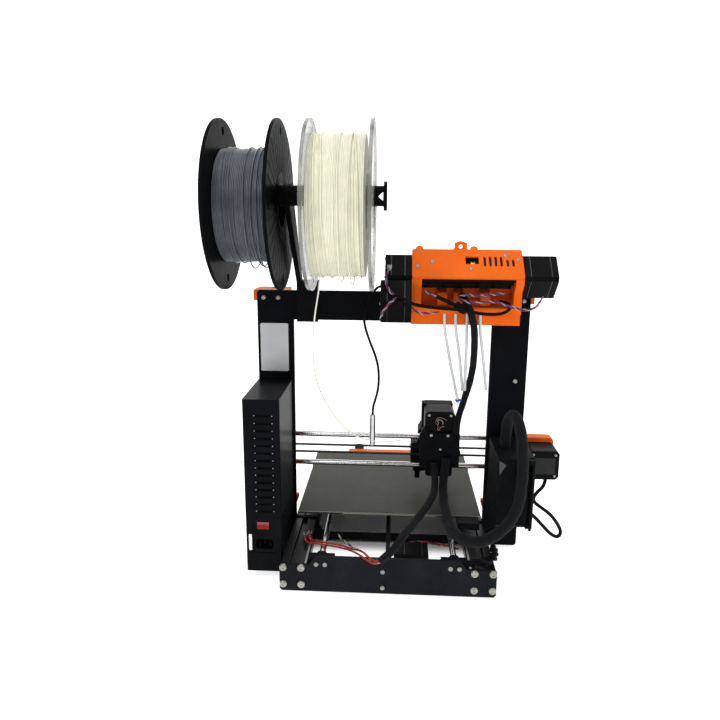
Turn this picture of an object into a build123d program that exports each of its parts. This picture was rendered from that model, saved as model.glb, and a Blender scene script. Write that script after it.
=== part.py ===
from build123d import *
import os
from math import atan2, cos, degrees, pi, radians, sin, tan

os.makedirs("parts", exist_ok=True)

# Machine frame while modelling: X = 0 is the middle of the frame plate, Y = 0 is its rear face, Z = 0 is
# the floor. The print bed faces -Y. Every piece is moved to the middle of the whole machine when saved.

# ---- Driving dimensions (mm) ----
running = 0.05  # radial clearance of a shaft in its bearing
gap = 0.3  # clearance between pieces that only pass each other

frame_width = 370
frame_top = 372
frame_bottom = 5
frame_thickness = 6
leg_width = 50
beam_height = 40
crossbar_top = 40
notch_bottom = 15

plate_lift = 2
plate_thickness = 4
plate_end_height = 36.5
plate_middle_height = 48.5
rear_plate_y = 132.7
front_plate_y = -214

extrusion_size = 30
extrusion_z = 23.6
slot_width = 8
slot_depth = 4.5
plate_bolt_pitch = 23
bolt_radius = 2.5
bolt_head_radius = 4.6
bolt_head_height = 2.8
screw_head_radius = 2.9
screw_head_height = 1.7
screw_shank_radius = 1.5
foot_radius = 9

motor_size = 42.3
motor_corner = 4.2
motor_boss_radius = 11
motor_boss_height = 2
motor_shaft_radius = 2.5
motor_screw_pitch = 31

rod_radius = 4
bearing_radius = 7.5
bearing_length = 24

y_rod_z = 43.5
y_rod_length = 330
bed_depth = 241.5
bed_rear_y = 37.4
sheet_thickness = 0.8
heatbed_thickness = 2.8
bed_spacer_height = 6
carriage_thickness = 6
carriage_shift = 24
y_bearing_pitch = 44
belt_width = 6
belt_thickness = 1.4
pulley_radius = 4.84
pulley_flange_radius = 7
pulley_teeth = 16
y_motor_y = 96
y_motor_z = 26
y_motor_length = 39
y_motor_face_x = -13.5
y_idler_y = -193

screw_spacing = 17
screw_radius = 4
z_axis_y = -35.3
z_motor_length = 40
z_mount_plate_z = 47
z_mount_plate_thickness = 5
z_top_z = 357
z_top_height = 14.5

x_rod_offset = 15
x_rod_spacing = 45
x_rod_low_z = 106
x_end_height = 58
x_end_depth = 17
x_end_inner = 28.5
x_end_outer = 10.5
x_motor_length = 40

carriage_x = -70.5
carriage_back_y = -7.2
extruder_motor_length = 40
extruder_motor_back_y = -12
nozzle_y = -75
nozzle_z = 80
nozzle_shift = 0.5
level_probe_x = -42
level_probe_y = -62
level_probe_radius = 4

psu_width = 47
psu_depth = 107
psu_bottom = 13
psu_top = 247.7
psu_cover_top = 90
psu_wall = 2
louvre_count = 14

case_depth = 97
case_bottom = 80
case_top = 173
case_wall = 2.5

spool_radius = 100
spool_axis_y = 82
spool_axis_z = 482
spool_flange = 4
spool_hub_radius = 25
spool_hub_wall = 3
arm_radius = 12
arm_wall = 2.5
arm_flange_radius = 17
arm_flange_thickness = 4
grey_right_x = 134.4
grey_left_x = 206.8
white_right_x = 23.2
white_left_x = 100.9
grey_winding_radius = 66.5
white_winding_radius = 83.5
clip_left = 129.5
clip_right = 101

mmu_left = -24.5
mmu_right = -166
mmu_cavity_left = -37
mmu_cavity_right = -156
mmu_ridge_y = 50
mmu_ridge_z = 397
mmu_axis_y = 20
mmu_axis_z = 395.5
tube_ledge_y = 32.6
tube_ledge_z = 348

probe_x = 24.8
probe_y = 7
probe_top = 200.8
probe_bottom = 156.2
probe_radius = 4

# ---- Places across the machine, set in from the edges of the frame plate ----
frame_edge = frame_width / 2
plate_width = frame_width - 95
plate_middle_half = frame_edge - 94
plate_slope_half = plate_middle_half + 9.3
notch_half_width = plate_middle_half + 5
extrusion_x = frame_edge - 64
y_rod_x = frame_edge - 100.3
bed_width = frame_width - 116.2
z_rod_x = frame_edge - 2
x_rod_length = frame_width
x_idler_x = frame_edge - 3
x_motor_x = -frame_edge - 33
case_outer_x = frame_edge - 0.5
case_inner_x = frame_edge - psu_width
top_screw_inner_x = frame_edge - 29.2
top_screw_outer_x = frame_edge - 9.3
top_screw_z = frame_top - 10

# ---- Values that follow from the dimensions above ----
window_half = frame_width / 2 - leg_width
window_top = frame_top - beam_height
front_face_y = -frame_thickness
extrusion_bottom = extrusion_z - extrusion_size / 2
extrusion_top = extrusion_z + extrusion_size / 2
plate_bottom = plate_lift
plate_top = plate_lift + plate_middle_height
rear_inner_y = rear_plate_y - plate_thickness
front_inner_y = front_plate_y + plate_thickness
bed_middle_y = bed_rear_y - bed_depth / 2
carriage_y = bed_middle_y + carriage_shift
carriage_z = y_rod_z + bearing_radius + gap
heatbed_z = carriage_z + carriage_thickness + bed_spacer_height
sheet_z = heatbed_z + heatbed_thickness
rod_fit = rod_radius + 0.02
y_rod_middle = (rear_inner_y + front_inner_y) / 2
x_axis_y = z_axis_y - x_rod_offset
x_rod_high_z = x_rod_low_z + x_rod_spacing
x_end_bottom = x_rod_low_z - 6
x_end_top = x_end_bottom + x_end_height
x_belt_z = x_rod_low_z + x_rod_spacing / 2
screw_x = z_rod_x - screw_spacing
belt_inner = pulley_radius + 0.11
belt_outer = belt_inner + belt_thickness
half_motor = motor_size / 2
tilt = sin(radians(45))
extruder_motor_z = x_rod_high_z + bearing_radius + gap + half_motor
hotend_x = carriage_x + nozzle_shift
extruder_face_y = extruder_motor_back_y - extruder_motor_length
screw_reach = 9
spool_hole_top = spool_axis_z + spool_hub_radius
arm_z = spool_hole_top - gap - arm_radius

# The middle of everything but the cords, where the part's origin lies.
machine_left = x_motor_x - half_motor
machine_right = grey_left_x + 8.2
machine_front = -302
machine_rear = spool_axis_y + spool_radius
origin = Vector((machine_left + machine_right) / 2, (machine_front + machine_rear) / 2, 0)


def save(piece, name):
    """Label a finished piece, move it to the part's origin and write it."""
    piece.part.move(Location(-origin))
    piece.part.label = name
    export_step(piece.part, f"parts/{name}.step")


def motor_body(face, length, shaft):
    """Stepper motor with its mounting face on the plane and its shaft along the plane's normal."""
    with BuildSketch(face) as section:
        Rectangle(motor_size, motor_size)
        chamfer(vertices(), motor_corner)
    extrude(section.sketch, amount=-length)
    with BuildSketch(face) as section:
        Circle(motor_boss_radius)
    extrude(section.sketch, amount=motor_boss_height)
    with BuildSketch(face) as section:
        Circle(motor_shaft_radius)
    extrude(section.sketch, amount=shaft)


def tilted_motor(start, end, y, z):
    """Stepper motor with its axis along X, turned by 45 degrees like the unit it drives."""
    with BuildSketch(Plane(origin=(start, y, z), x_dir=(0, tilt, tilt), z_dir=(1, 0, 0))) as section:
        Rectangle(motor_size, motor_size)
        chamfer(vertices(), motor_corner)
    extrude(section.sketch, amount=end - start)


def toothed_pulley(middle, bore):
    """GT2 pulley with its mid-plane on the given plane: a toothed drum between two flanges."""
    drum = belt_width + 1
    with BuildSketch(middle.offset(-drum / 2)) as section:
        Circle(pulley_radius)
        with PolarLocations(pulley_radius, pulley_teeth):
            Circle(0.5, mode=Mode.SUBTRACT)
    extrude(section.sketch, amount=drum)
    for side in (-drum / 2 - 1, drum / 2):
        with BuildSketch(middle.offset(side)) as section:
            Circle(pulley_flange_radius)
        extrude(section.sketch, amount=1)
    with BuildSketch(middle.offset(-drum / 2 - 1)) as section:
        Circle(bore)
    extrude(section.sketch, amount=drum + 2, mode=Mode.SUBTRACT)


def belt_loop(plane, length):
    """Flat belt round two equal pulleys, the second one further along the plane's local X."""
    with BuildSketch(plane.offset(-belt_width / 2)) as section:
        with Locations((length / 2, 0)):
            SlotCenterToCenter(length, 2 * belt_outer)
            SlotCenterToCenter(length, 2 * belt_inner, mode=Mode.SUBTRACT)
    extrude(section.sketch, amount=belt_width)


def end_plate(rear_face):
    """Aluminium end plate with its rear face on the given plane, bolt holes included."""
    ends = plate_bottom + plate_end_height
    with BuildSketch(rear_face) as section:
        with BuildLine():
            Polyline(
                (0, plate_bottom),
                (plate_width / 2 - 3, plate_bottom),
                (plate_width / 2, plate_bottom + 3),
                (plate_width / 2, ends - 2),
                (plate_width / 2 - 2, ends),
                (plate_slope_half, ends),
                (plate_middle_half, plate_top),
                (0, plate_top),
                close=True,
            )
        make_face()
        mirror(about=Plane.YZ)
        with Locations(*bolt_places):
            Circle(bolt_radius + 0.1, mode=Mode.SUBTRACT)
        with Locations(*small_places):
            Circle(1.6, mode=Mode.SUBTRACT)
    extrude(section.sketch, amount=plate_thickness)


def profile_section():
    """T-slot section with a core bore and four corner channels."""
    Rectangle(extrusion_size, extrusion_size)
    with PolarLocations(extrusion_size / 2 - slot_depth / 2, 4):
        Rectangle(slot_depth, slot_width, mode=Mode.SUBTRACT)
    Circle(3.4, mode=Mode.SUBTRACT)
    with GridLocations(plate_bolt_pitch, plate_bolt_pitch, 2, 2):
        Circle(bolt_radius, mode=Mode.SUBTRACT)


def tube(route, radius, name):
    """Cord as straight runs joined by arcs that are as large as their two runs allow."""
    points = [Vector(*p) for p in route]
    runs = [(b - a).length for a, b in zip(points, points[1:])]
    radii = []
    for i in range(1, len(points) - 1):
        turn = (points[i] - points[i - 1]).get_angle(points[i + 1] - points[i])
        radii.append(0.45 * min(runs[i - 1], runs[i]) / tan(radians(turn) / 2))
    print(name, "radii", [round(r) for r in radii], "runs", [round(r) for r in runs])
    with BuildLine() as path:
        FilletPolyline(*points, radius=radii)
    with BuildSketch(Plane(origin=points[0], z_dir=points[1] - points[0])) as section:
        Circle(radius)
    sweep(section.sketch, path=path.line)


bolt_places = [
    (side * extrusion_x + dx * plate_bolt_pitch / 2, extrusion_z + dz * plate_bolt_pitch / 2)
    for side in (-1, 1)
    for dx in (-1, 1)
    for dz in (-1, 1)
]
holder_screw_z = y_rod_z - 3.2
holder_screw_half = 5.6
small_places = [(side * y_rod_x + dx * holder_screw_half, holder_screw_z) for side in (-1, 1) for dx in (-1, 1)]
mount_screw_x = 6
mount_screw_low = 10.6
mount_screw_high = 32.8
small_places += [(mount_screw_x, mount_screw_low), (mount_screw_x, mount_screw_high)]

# ---- Frame ----
frame_screw_places = [(155.8, 362), (175.7, 362), (-155.8, 362), (-175.7, 362), (-170, 251)]

with BuildPart() as frame_plate:
    with BuildSketch(Plane.XZ):
        with Locations((0, (frame_top + frame_bottom) / 2)):
            Rectangle(frame_width, frame_top - frame_bottom)
        chamfer(vertices(), 3)
        with Locations((0, (window_top + crossbar_top) / 2)):
            Rectangle(2 * window_half, window_top - crossbar_top, mode=Mode.SUBTRACT)
        with BuildLine():
            Polyline(
                (-notch_half_width - 12, crossbar_top + 1),
                (-notch_half_width, notch_bottom),
                (notch_half_width, notch_bottom),
                (notch_half_width + 12, crossbar_top + 1),
                close=True,
            )
        make_face(mode=Mode.SUBTRACT)
        with Locations(*bolt_places):
            Circle(bolt_radius + 0.1, mode=Mode.SUBTRACT)
        with Locations(*frame_screw_places):
            Circle(1.6, mode=Mode.SUBTRACT)
    extrude(amount=frame_thickness)
save(frame_plate, "frame_plate")

with BuildPart() as end_plates:
    end_plate(Plane.XZ.offset(-rear_plate_y))
    end_plate(Plane.XZ.offset(-front_inner_y))
save(end_plates, "end_plates")

with BuildPart() as extrusions:
    for side in (-1, 1):
        with BuildSketch(Plane.XZ):
            with Locations((side * extrusion_x, extrusion_z)):
                profile_section()
        extrude(amount=-rear_inner_y)
        with BuildSketch(Plane.XZ.offset(frame_thickness)):
            with Locations((side * extrusion_x, extrusion_z)):
                profile_section()
        extrude(amount=front_face_y - front_inner_y)
save(extrusions, "extrusions")

with BuildPart() as rubber_feet:
    for foot_y in (front_inner_y + 22, rear_inner_y - 22):
        for side in (-1, 1):
            with BuildSketch(Plane(origin=(side * extrusion_x, foot_y, 0))):
                Circle(foot_radius)
            extrude(amount=extrusion_bottom, taper=8)
save(rubber_feet, "rubber_feet")

with BuildPart() as frame_screws:
    for face, out in ((rear_plate_y, -1), (front_plate_y, 1)):
        for places, head, height, shank, reach in (
            (bolt_places, bolt_head_radius, bolt_head_height, bolt_radius - running, 16),
            (small_places, screw_head_radius, screw_head_height, screw_shank_radius, plate_thickness),
        ):
            with BuildSketch(Plane.XZ.offset(-face)):
                with Locations(*places):
                    Circle(head)
            extrude(amount=out * height)
            with BuildSketch(Plane.XZ.offset(-face)):
                with Locations(*places):
                    Circle(shank)
            extrude(amount=-out * reach)
    with BuildSketch(Plane.XZ):
        with Locations(*frame_screw_places):
            Circle(screw_head_radius)
    extrude(amount=-screw_head_height)
    with BuildSketch(Plane.XZ):
        with Locations(*frame_screw_places):
            Circle(screw_shank_radius)
    extrude(amount=frame_thickness)
save(frame_screws, "frame_screws")

# ---- Power supply ----
psu_outer_x = frame_width / 2
psu_inner_x = psu_outer_x - psu_width
psu_x = (psu_outer_x + psu_inner_x) / 2
louvre_width = 24
louvre_x = psu_x - 2.6
louvre_bottom = 98
louvre_pitch = (226.5 - louvre_bottom) / (louvre_count - 1)
cover_wall = 2.5

with BuildPart() as psu_housing:
    with BuildSketch(Plane.XY.offset(psu_cover_top)):
        with Locations((psu_x, psu_depth / 2 + gap / 2)):
            Rectangle(psu_width, psu_depth - gap)
    extrude(amount=psu_top - psu_cover_top)
    fillet(edges().filter_by(Axis.Z), 1)
    with BuildSketch(Plane.XZ.offset(-psu_depth)):
        with Locations((louvre_x, (louvre_bottom + 226.5) / 2)):
            with GridLocations(1, louvre_pitch, 1, louvre_count):
                SlotOverall(louvre_width, 3.2)
    extrude(amount=psu_wall, mode=Mode.SUBTRACT)
save(psu_housing, "psu_housing")

rocker_x = psu_x + 1
rocker_z = 77.6
rocker_width = 15.8
rocker_height = 10.8
inlet_x = psu_x - 0.35
inlet_z = 50.8
inlet_width = 23.3
inlet_height = 14.4

pivot_y = psu_depth - 4.5
pivot_radius = 1.4
pivot_reach = 1.3

with BuildPart() as psu_cover:
    with BuildSketch(Plane.XY.offset(psu_bottom)):
        with Locations((psu_x, psu_depth / 2 + gap / 2)):
            Rectangle(psu_width, psu_depth - gap)
    extrude(amount=psu_cover_top - psu_bottom - gap)
    fillet(edges().filter_by(Axis.Z), 2)
    with BuildSketch(Plane.XZ.offset(-psu_depth)):
        with Locations((psu_x, 64.5)):
            RectangleRounded(29, 51, 3)
    extrude(amount=1, mode=Mode.SUBTRACT)
    with BuildSketch(Plane.XZ.offset(-psu_depth)):
        with Locations((rocker_x, rocker_z)):
            Rectangle(rocker_width + 2 * gap, rocker_height + 2 * gap)
    extrude(amount=14, mode=Mode.SUBTRACT)
    with BuildSketch(Plane.XZ.offset(-psu_depth)):
        with Locations((inlet_x, inlet_z)):
            RectangleRounded(inlet_width, inlet_height, 4)
    extrude(amount=17, mode=Mode.SUBTRACT)
    with BuildSketch(Plane.XZ.offset(17 - psu_depth)):
        with Locations((inlet_x, inlet_z + 2), (inlet_x - 7, inlet_z - 2), (inlet_x + 7, inlet_z - 2)):
            Rectangle(2, 4)
    extrude(amount=-12)
    with BuildSketch(Plane.YZ.offset(rocker_x - rocker_width / 2 - gap - pivot_reach)):
        with Locations((pivot_y, rocker_z)):
            Circle(pivot_radius + running)
    extrude(amount=rocker_width + 2 * gap + 2 * pivot_reach, mode=Mode.SUBTRACT)
save(psu_cover, "psu_cover")

with BuildPart() as power_switch:
    with BuildSketch(Plane.YZ.offset(rocker_x - rocker_width / 2)):
        with BuildLine():
            Polyline(
                (psu_depth - 1.2, rocker_z - rocker_height / 2 + 0.7),
                (psu_depth + 1.4, rocker_z - rocker_height / 2 + 1.2),
                (psu_depth - 0.8, rocker_z),
                (psu_depth - 1.0, rocker_z + rocker_height / 2 - 0.7),
                (psu_depth - 8, rocker_z + 2.2),
                (psu_depth - 8, rocker_z - 2.2),
                close=True,
            )
        make_face()
    extrude(amount=rocker_width)
    with BuildSketch(Plane.YZ.offset(rocker_x - rocker_width / 2 - pivot_reach)):
        with Locations((pivot_y, rocker_z)):
            Circle(pivot_radius)
    extrude(amount=rocker_width + 2 * pivot_reach)
save(power_switch, "power_switch")

# ---- Electronics case ----
door_thickness = 8
case_side_x = -(case_outer_x - door_thickness)
hinge_radius = 2.5
pin_radius = 1.2
knuckle_height = 6
hinge_y = case_depth + 1 - hinge_radius
hinge_x = -case_outer_x + hinge_radius

with BuildPart() as electronics_case:
    with BuildSketch(Plane.YZ.offset(-case_inner_x)):
        with Locations(((1 + case_depth) / 2 + 0.5, (case_top + case_bottom) / 2)):
            Rectangle(case_depth - 1, case_top - case_bottom)
            chamfer(vertices(), 4)
    extrude(amount=-(-case_inner_x - case_side_x))
    with BuildSketch(Plane.YZ.offset(-case_inner_x - case_wall)):
        with Locations(((1 + case_depth) / 2 + 0.5, (case_top + case_bottom) / 2)):
            Rectangle(case_depth - 1 - 2 * case_wall, case_top - case_bottom - 2 * case_wall)
    extrude(amount=-(case_outer_x - case_inner_x), mode=Mode.SUBTRACT)
    with BuildSketch(Plane.XY.offset(case_top - case_wall - 1)):
        with Locations((-153, 50)):
            Circle(8)
    extrude(amount=case_wall + 2, mode=Mode.SUBTRACT)
    with BuildSketch(Plane.YZ.offset(-case_inner_x)):
        with Locations((0.65, case_bottom + 12), (0.65, case_top - 12)):
            Rectangle(0.7, 14)
    extrude(amount=-30)
    with BuildSketch(Plane.YZ.offset(-case_inner_x - case_wall)):
        with Locations(*[(y, z) for y in (20, 80) for z in (case_bottom + 16, case_top - 16)]):
            Circle(3.5)
    extrude(amount=-6)
    for low in (case_bottom, case_top - knuckle_height + gap):
        with BuildSketch(Plane.XY.offset(low)):
            with Locations((hinge_x, hinge_y)):
                Circle(hinge_radius)
            with Locations(((hinge_x + case_side_x) / 2 + 0.5, hinge_y)):
                Rectangle(case_side_x - hinge_x + 1, 2 * hinge_radius)
        extrude(amount=knuckle_height - gap)
    with BuildSketch(Plane.XY.offset(case_bottom)):
        with Locations((hinge_x, hinge_y)):
            Circle(pin_radius)
    extrude(amount=case_top - case_bottom)
save(electronics_case, "electronics_case")

with BuildPart() as control_board:
    with BuildSketch(Plane.YZ.offset(-case_inner_x - case_wall - 6)):
        with Locations((50, (case_top + case_bottom) / 2)):
            Rectangle(84, 80)
    extrude(amount=-1.6)
    with BuildSketch(Plane.YZ.offset(-case_inner_x - case_wall - 7.6)):
        with Locations(*[(y, case_top - 23) for y in (30, 45, 60, 75)]):
            Rectangle(9, 9)
    extrude(amount=-8)
    with BuildSketch(Plane.YZ.offset(-case_inner_x - case_wall - 7.6)):
        with Locations((50, case_bottom + 40)):
            Rectangle(16, 16)
        with Locations((50, case_bottom + 14)):
            Rectangle(60, 9)
    extrude(amount=-5)
save(control_board, "control_board")

with BuildPart() as electronics_door:
    with BuildSketch(Plane.YZ.offset(case_side_x - gap)):
        with Locations(((1 + case_depth) / 2 + 0.5 - 3, (case_top + case_bottom) / 2)):
            Rectangle(case_depth - 7, case_top - case_bottom)
            chamfer(vertices(), 4)
    extrude(amount=-(door_thickness - gap))
    with BuildSketch(Plane.YZ.offset(case_side_x - gap)):
        with Locations(((1 + case_depth) / 2 + 0.5 - 3, (case_top + case_bottom) / 2)):
            Rectangle(case_depth - 7 - 2 * case_wall, case_top - case_bottom - 2 * case_wall)
    extrude(amount=-(door_thickness - gap - case_wall), mode=Mode.SUBTRACT)
    with BuildSketch(Plane.YZ.offset(-case_outer_x)):
        with Locations((48, (case_top + case_bottom) / 2)):
            with GridLocations(9, 1, 7, 1):
                SlotOverall(50, 4, rotation=90)
    extrude(amount=case_wall, mode=Mode.SUBTRACT)
    with BuildSketch(Plane.XY.offset(case_bottom + knuckle_height)):
        with Locations((hinge_x, hinge_y)):
            Circle(hinge_radius)
        with Locations((hinge_x, hinge_y - 3)):
            Rectangle(2 * hinge_radius, 6)
        with Locations((hinge_x, hinge_y)):
            Circle(pin_radius + running, mode=Mode.SUBTRACT)
    extrude(amount=case_top - case_bottom - 2 * knuckle_height)
    with BuildSketch(Plane.YZ.offset(-case_outer_x)):
        with Locations((case_depth - 9, case_bottom - 2)):
            Rectangle(8, 8)
    extrude(amount=3)
save(electronics_door, "electronics_door")

# ---- Z axis, fixed pieces ----
mount_inner = screw_x - 27
mount_outer = z_rod_x + 8
mount_depth = 50
z_mount_back = 8

with BuildPart() as z_axis_mounts:
    for side in (-1, 1):
        middle = side * (mount_inner + mount_outer) / 2
        width = mount_outer - mount_inner
        with BuildSketch(Plane.XY.offset(z_mount_plate_z)):
            with Locations((middle, front_face_y - mount_depth / 2)):
                Rectangle(width, mount_depth)
        extrude(amount=z_mount_plate_thickness)
        with BuildSketch(Plane.XY.offset(z_mount_plate_z - 16)):
            with Locations((middle, front_face_y - 3.5)):
                Rectangle(width, 7)
        extrude(amount=16 + 20)
        with BuildSketch(Plane.YZ.offset(side * mount_inner)):
            with BuildLine():
                Polyline(
                    (front_face_y, z_mount_plate_z),
                    (front_face_y - mount_depth, z_mount_plate_z),
                    (front_face_y - mount_depth, z_mount_plate_z + 6),
                    (front_face_y, z_mount_plate_z + 20),
                    close=True,
                )
            make_face()
        extrude(amount=side * 4)
        with BuildSketch(Plane.XY.offset(z_mount_plate_z)):
            with Locations((side * z_rod_x, z_axis_y)):
                Circle(7)
        extrude(amount=12)
        with BuildSketch(Plane.XY.offset(z_mount_plate_z)):
            with Locations((side * screw_x, z_axis_y)):
                Circle(motor_boss_radius + gap)
        extrude(amount=12, mode=Mode.SUBTRACT)
        with BuildSketch(Plane.XY.offset(z_mount_plate_z + 1)):
            with Locations((side * z_rod_x, z_axis_y)):
                Circle(rod_fit)
        extrude(amount=20, mode=Mode.SUBTRACT)
        with BuildSketch(Plane.XY.offset(z_top_z)):
            with Locations((side * (mount_inner + 5 + mount_outer) / 2, front_face_y - 22)):
                RectangleRounded(mount_outer - mount_inner - 5, 44, 5)
            with Locations((side * (mount_inner + 5 + mount_outer) / 2, front_face_y - 3)):
                Rectangle(mount_outer - mount_inner - 5, 6)
            with Locations((side * screw_x, z_axis_y)):
                Circle(screw_radius + 1.5, mode=Mode.SUBTRACT)
        extrude(amount=z_top_height)
        with BuildSketch(Plane.XY.offset(z_top_z)):
            with Locations((side * z_rod_x, z_axis_y)):
                Circle(rod_fit)
        extrude(amount=z_top_height - 4, mode=Mode.SUBTRACT)
        with BuildSketch(Plane.XZ.offset(frame_thickness)):
            with Locations((side * top_screw_inner_x, top_screw_z), (side * top_screw_outer_x, top_screw_z)):
                Circle(1.6)
        extrude(amount=8, mode=Mode.SUBTRACT)
save(z_axis_mounts, "z_axis_mounts")

with BuildPart() as fixed_motors:
    for side in (-1, 1):
        motor_body(Plane(origin=(side * screw_x, z_axis_y, z_mount_plate_z)), z_motor_length, motor_boss_height)
    motor_body(
        Plane(origin=(y_motor_face_x, y_motor_y, y_motor_z), x_dir=(0, 1, 0), z_dir=(1, 0, 0)),
        y_motor_length,
        -y_motor_face_x + 5,
    )
    tilted_motor(mmu_left + gap, 10.1, mmu_axis_y, mmu_axis_z)
    tilted_motor(mmu_left + gap, 15, mmu_axis_y + 30.2, mmu_axis_z - 30.2)
    tilted_motor(-209, mmu_right - gap, mmu_axis_y, mmu_axis_z)
save(fixed_motors, "fixed_motors")

rod_top = z_top_z + z_top_height - 4.5
with BuildPart() as smooth_rods:
    for side in (-1, 1):
        with BuildSketch(Plane.XY.offset(z_mount_plate_z + 1)):
            with Locations((side * z_rod_x, z_axis_y)):
                Circle(rod_radius)
        extrude(amount=rod_top - z_mount_plate_z - 1)
        with BuildSketch(Plane.XZ.offset(-y_rod_middle - y_rod_length / 2)):
            with Locations((side * y_rod_x, y_rod_z)):
                Circle(rod_radius)
        extrude(amount=y_rod_length)
save(smooth_rods, "smooth_rods")

lead_screw_bottom = z_mount_plate_z + motor_boss_height + gap
lead_screw_top = z_top_z + z_top_height - 2
for side, screw_name in ((1, "lead_screw_left"), (-1, "lead_screw_right")):
    with BuildPart() as lead_screw:
        with BuildSketch(Plane.XY.offset(lead_screw_bottom)):
            with Locations((side * screw_x, z_axis_y)):
                Circle(screw_radius)
        extrude(amount=lead_screw_top - lead_screw_bottom)
        chamfer(edges().group_by(Axis.Z)[-1], 1)
    save(lead_screw, screw_name)

# ---- Y axis ----
holder_width = 34
holder_depth = 14
y_belt_length = y_motor_y - y_idler_y

with BuildPart() as y_axis_mounts:
    for side in (-1, 1):
        for inner, into in ((rear_inner_y, 1), (front_inner_y, -1)):
            with BuildSketch(Plane.XZ.offset(-inner)):
                with Locations((side * y_rod_x, y_rod_z - 5)):
                    Rectangle(holder_width, 16)
                with Locations((side * y_rod_x, y_rod_z)):
                    Circle(rod_radius + 3)
                with Locations((side * y_rod_x, y_rod_z)):
                    Circle(rod_fit, mode=Mode.SUBTRACT)
                with Locations((side * y_rod_x, y_rod_z + 7)):
                    Rectangle(holder_width, 0.6 * rod_radius, mode=Mode.SUBTRACT)
            extrude(amount=into * holder_depth)
    with BuildSketch(Plane.YZ.offset(y_motor_face_x)):
        with Locations((y_motor_y, y_motor_z)):
            RectangleRounded(motor_size, motor_size, 3)
        with Locations(((y_motor_y + rear_inner_y) / 2, y_motor_z - 1)):
            Rectangle(rear_inner_y - y_motor_y, 34)
        with Locations((y_motor_y, y_motor_z)):
            Circle(motor_boss_radius + 0.3, mode=Mode.SUBTRACT)
    extrude(amount=5.5)
    with BuildSketch(Plane.XZ.offset(-rear_inner_y)):
        with Locations((mount_screw_x / 2 - 2, y_motor_z - 1)):
            Rectangle(22, 34)
    extrude(amount=6)
    with BuildSketch(Plane.XZ.offset(-front_inner_y)):
        with Locations((0, y_motor_z)):
            Rectangle(22, 26)
    extrude(amount=front_inner_y - y_idler_y + pulley_flange_radius + 1)
    for cheek in (-1, 1):
        with BuildSketch(Plane.YZ.offset(cheek * (belt_width / 2 + 2 + gap))):
            with Locations(((front_inner_y + y_idler_y + 8) / 2, y_motor_z)):
                Rectangle(y_idler_y + 8 - front_inner_y, 20)
            with Locations((y_idler_y, y_motor_z)):
                Circle(1.55, mode=Mode.SUBTRACT)
        extrude(amount=cheek * 4)
    with BuildSketch(Plane.XZ.offset(-front_inner_y)):
        with Locations((mount_screw_x, mount_screw_low), (mount_screw_x, mount_screw_high)):
            Circle(1.6)
    extrude(amount=-8, mode=Mode.SUBTRACT)
save(y_axis_mounts, "y_axis_mounts")

with BuildPart() as y_pulley:
    toothed_pulley(Plane(origin=(0, y_motor_y, y_motor_z), x_dir=(0, 1, 0), z_dir=(1, 0, 0)), motor_shaft_radius + running)
save(y_pulley, "y_pulley")

with BuildPart() as y_idler:
    with BuildSketch(Plane(origin=(-4, y_idler_y, y_motor_z), x_dir=(0, 1, 0), z_dir=(1, 0, 0))):
        Circle(pulley_radius)
    extrude(amount=8)
    for side in (-5, 4):
        with BuildSketch(Plane(origin=(side, y_idler_y, y_motor_z), x_dir=(0, 1, 0), z_dir=(1, 0, 0))):
            Circle(pulley_flange_radius)
        extrude(amount=1)
    with BuildSketch(Plane(origin=(-9.5, y_idler_y, y_motor_z), x_dir=(0, 1, 0), z_dir=(1, 0, 0))):
        Circle(1.5)
    extrude(amount=19)
save(y_idler, "y_idler")

with BuildPart() as y_belt:
    belt_loop(Plane(origin=(0, y_idler_y, y_motor_z), x_dir=(0, 1, 0), z_dir=(1, 0, 0)), y_belt_length)
save(y_belt, "y_belt")

bed_screw_x = 104.5
bed_screw_y = 44
clamp_gap = 1.0

with BuildPart() as y_carriage:
    with BuildSketch(Plane.XY.offset(carriage_z)):
        with Locations((0, carriage_y)):
            RectangleRounded(2 * bed_screw_x + 16, 2 * bed_screw_y + 16, 8)
        with Locations((-43, carriage_y), (43, carriage_y)):
            RectangleRounded(46, 62, 8, mode=Mode.SUBTRACT)
        with Locations((-bed_screw_x - 8, carriage_y), (bed_screw_x + 8, carriage_y)):
            RectangleRounded(24, 56, 8, mode=Mode.SUBTRACT)
    extrude(amount=carriage_thickness)
    with BuildSketch(Plane.XY.offset(carriage_z + carriage_thickness)):
        with Locations((0, carriage_y)):
            with GridLocations(bed_screw_x, bed_screw_y, 3, 3):
                Circle(3.2)
    extrude(amount=bed_spacer_height)
    for place in ((-1, 0), (1, -y_bearing_pitch / 2), (1, y_bearing_pitch / 2)):
        with BuildSketch(Plane.XZ.offset(-(carriage_y + place[1] + bearing_length / 2))):
            with Locations((place[0] * y_rod_x, y_rod_z)):
                Circle(bearing_radius)
                Circle(rod_radius + running, mode=Mode.SUBTRACT)
        extrude(amount=bearing_length)
    belt_top = y_motor_z + belt_outer
    with BuildSketch(Plane.XY.offset(belt_top + clamp_gap)):
        with Locations((0, carriage_y)):
            Rectangle(24, 30)
    extrude(amount=carriage_z - belt_top - clamp_gap)
    with BuildSketch(Plane.XZ.offset(-(carriage_y + 15))):
        with Locations((belt_width / 2 + 4, belt_top - 2), (-belt_width / 2 - 4, belt_top - 2)):
            Rectangle(5, 8)
    extrude(amount=30)
save(y_carriage, "y_carriage")

with BuildPart() as heatbed:
    with BuildSketch(Plane.XY.offset(heatbed_z)):
        with Locations((0, bed_middle_y)):
            RectangleRounded(bed_width, bed_depth, 4)
    extrude(amount=heatbed_thickness)
save(heatbed, "heatbed")

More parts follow.
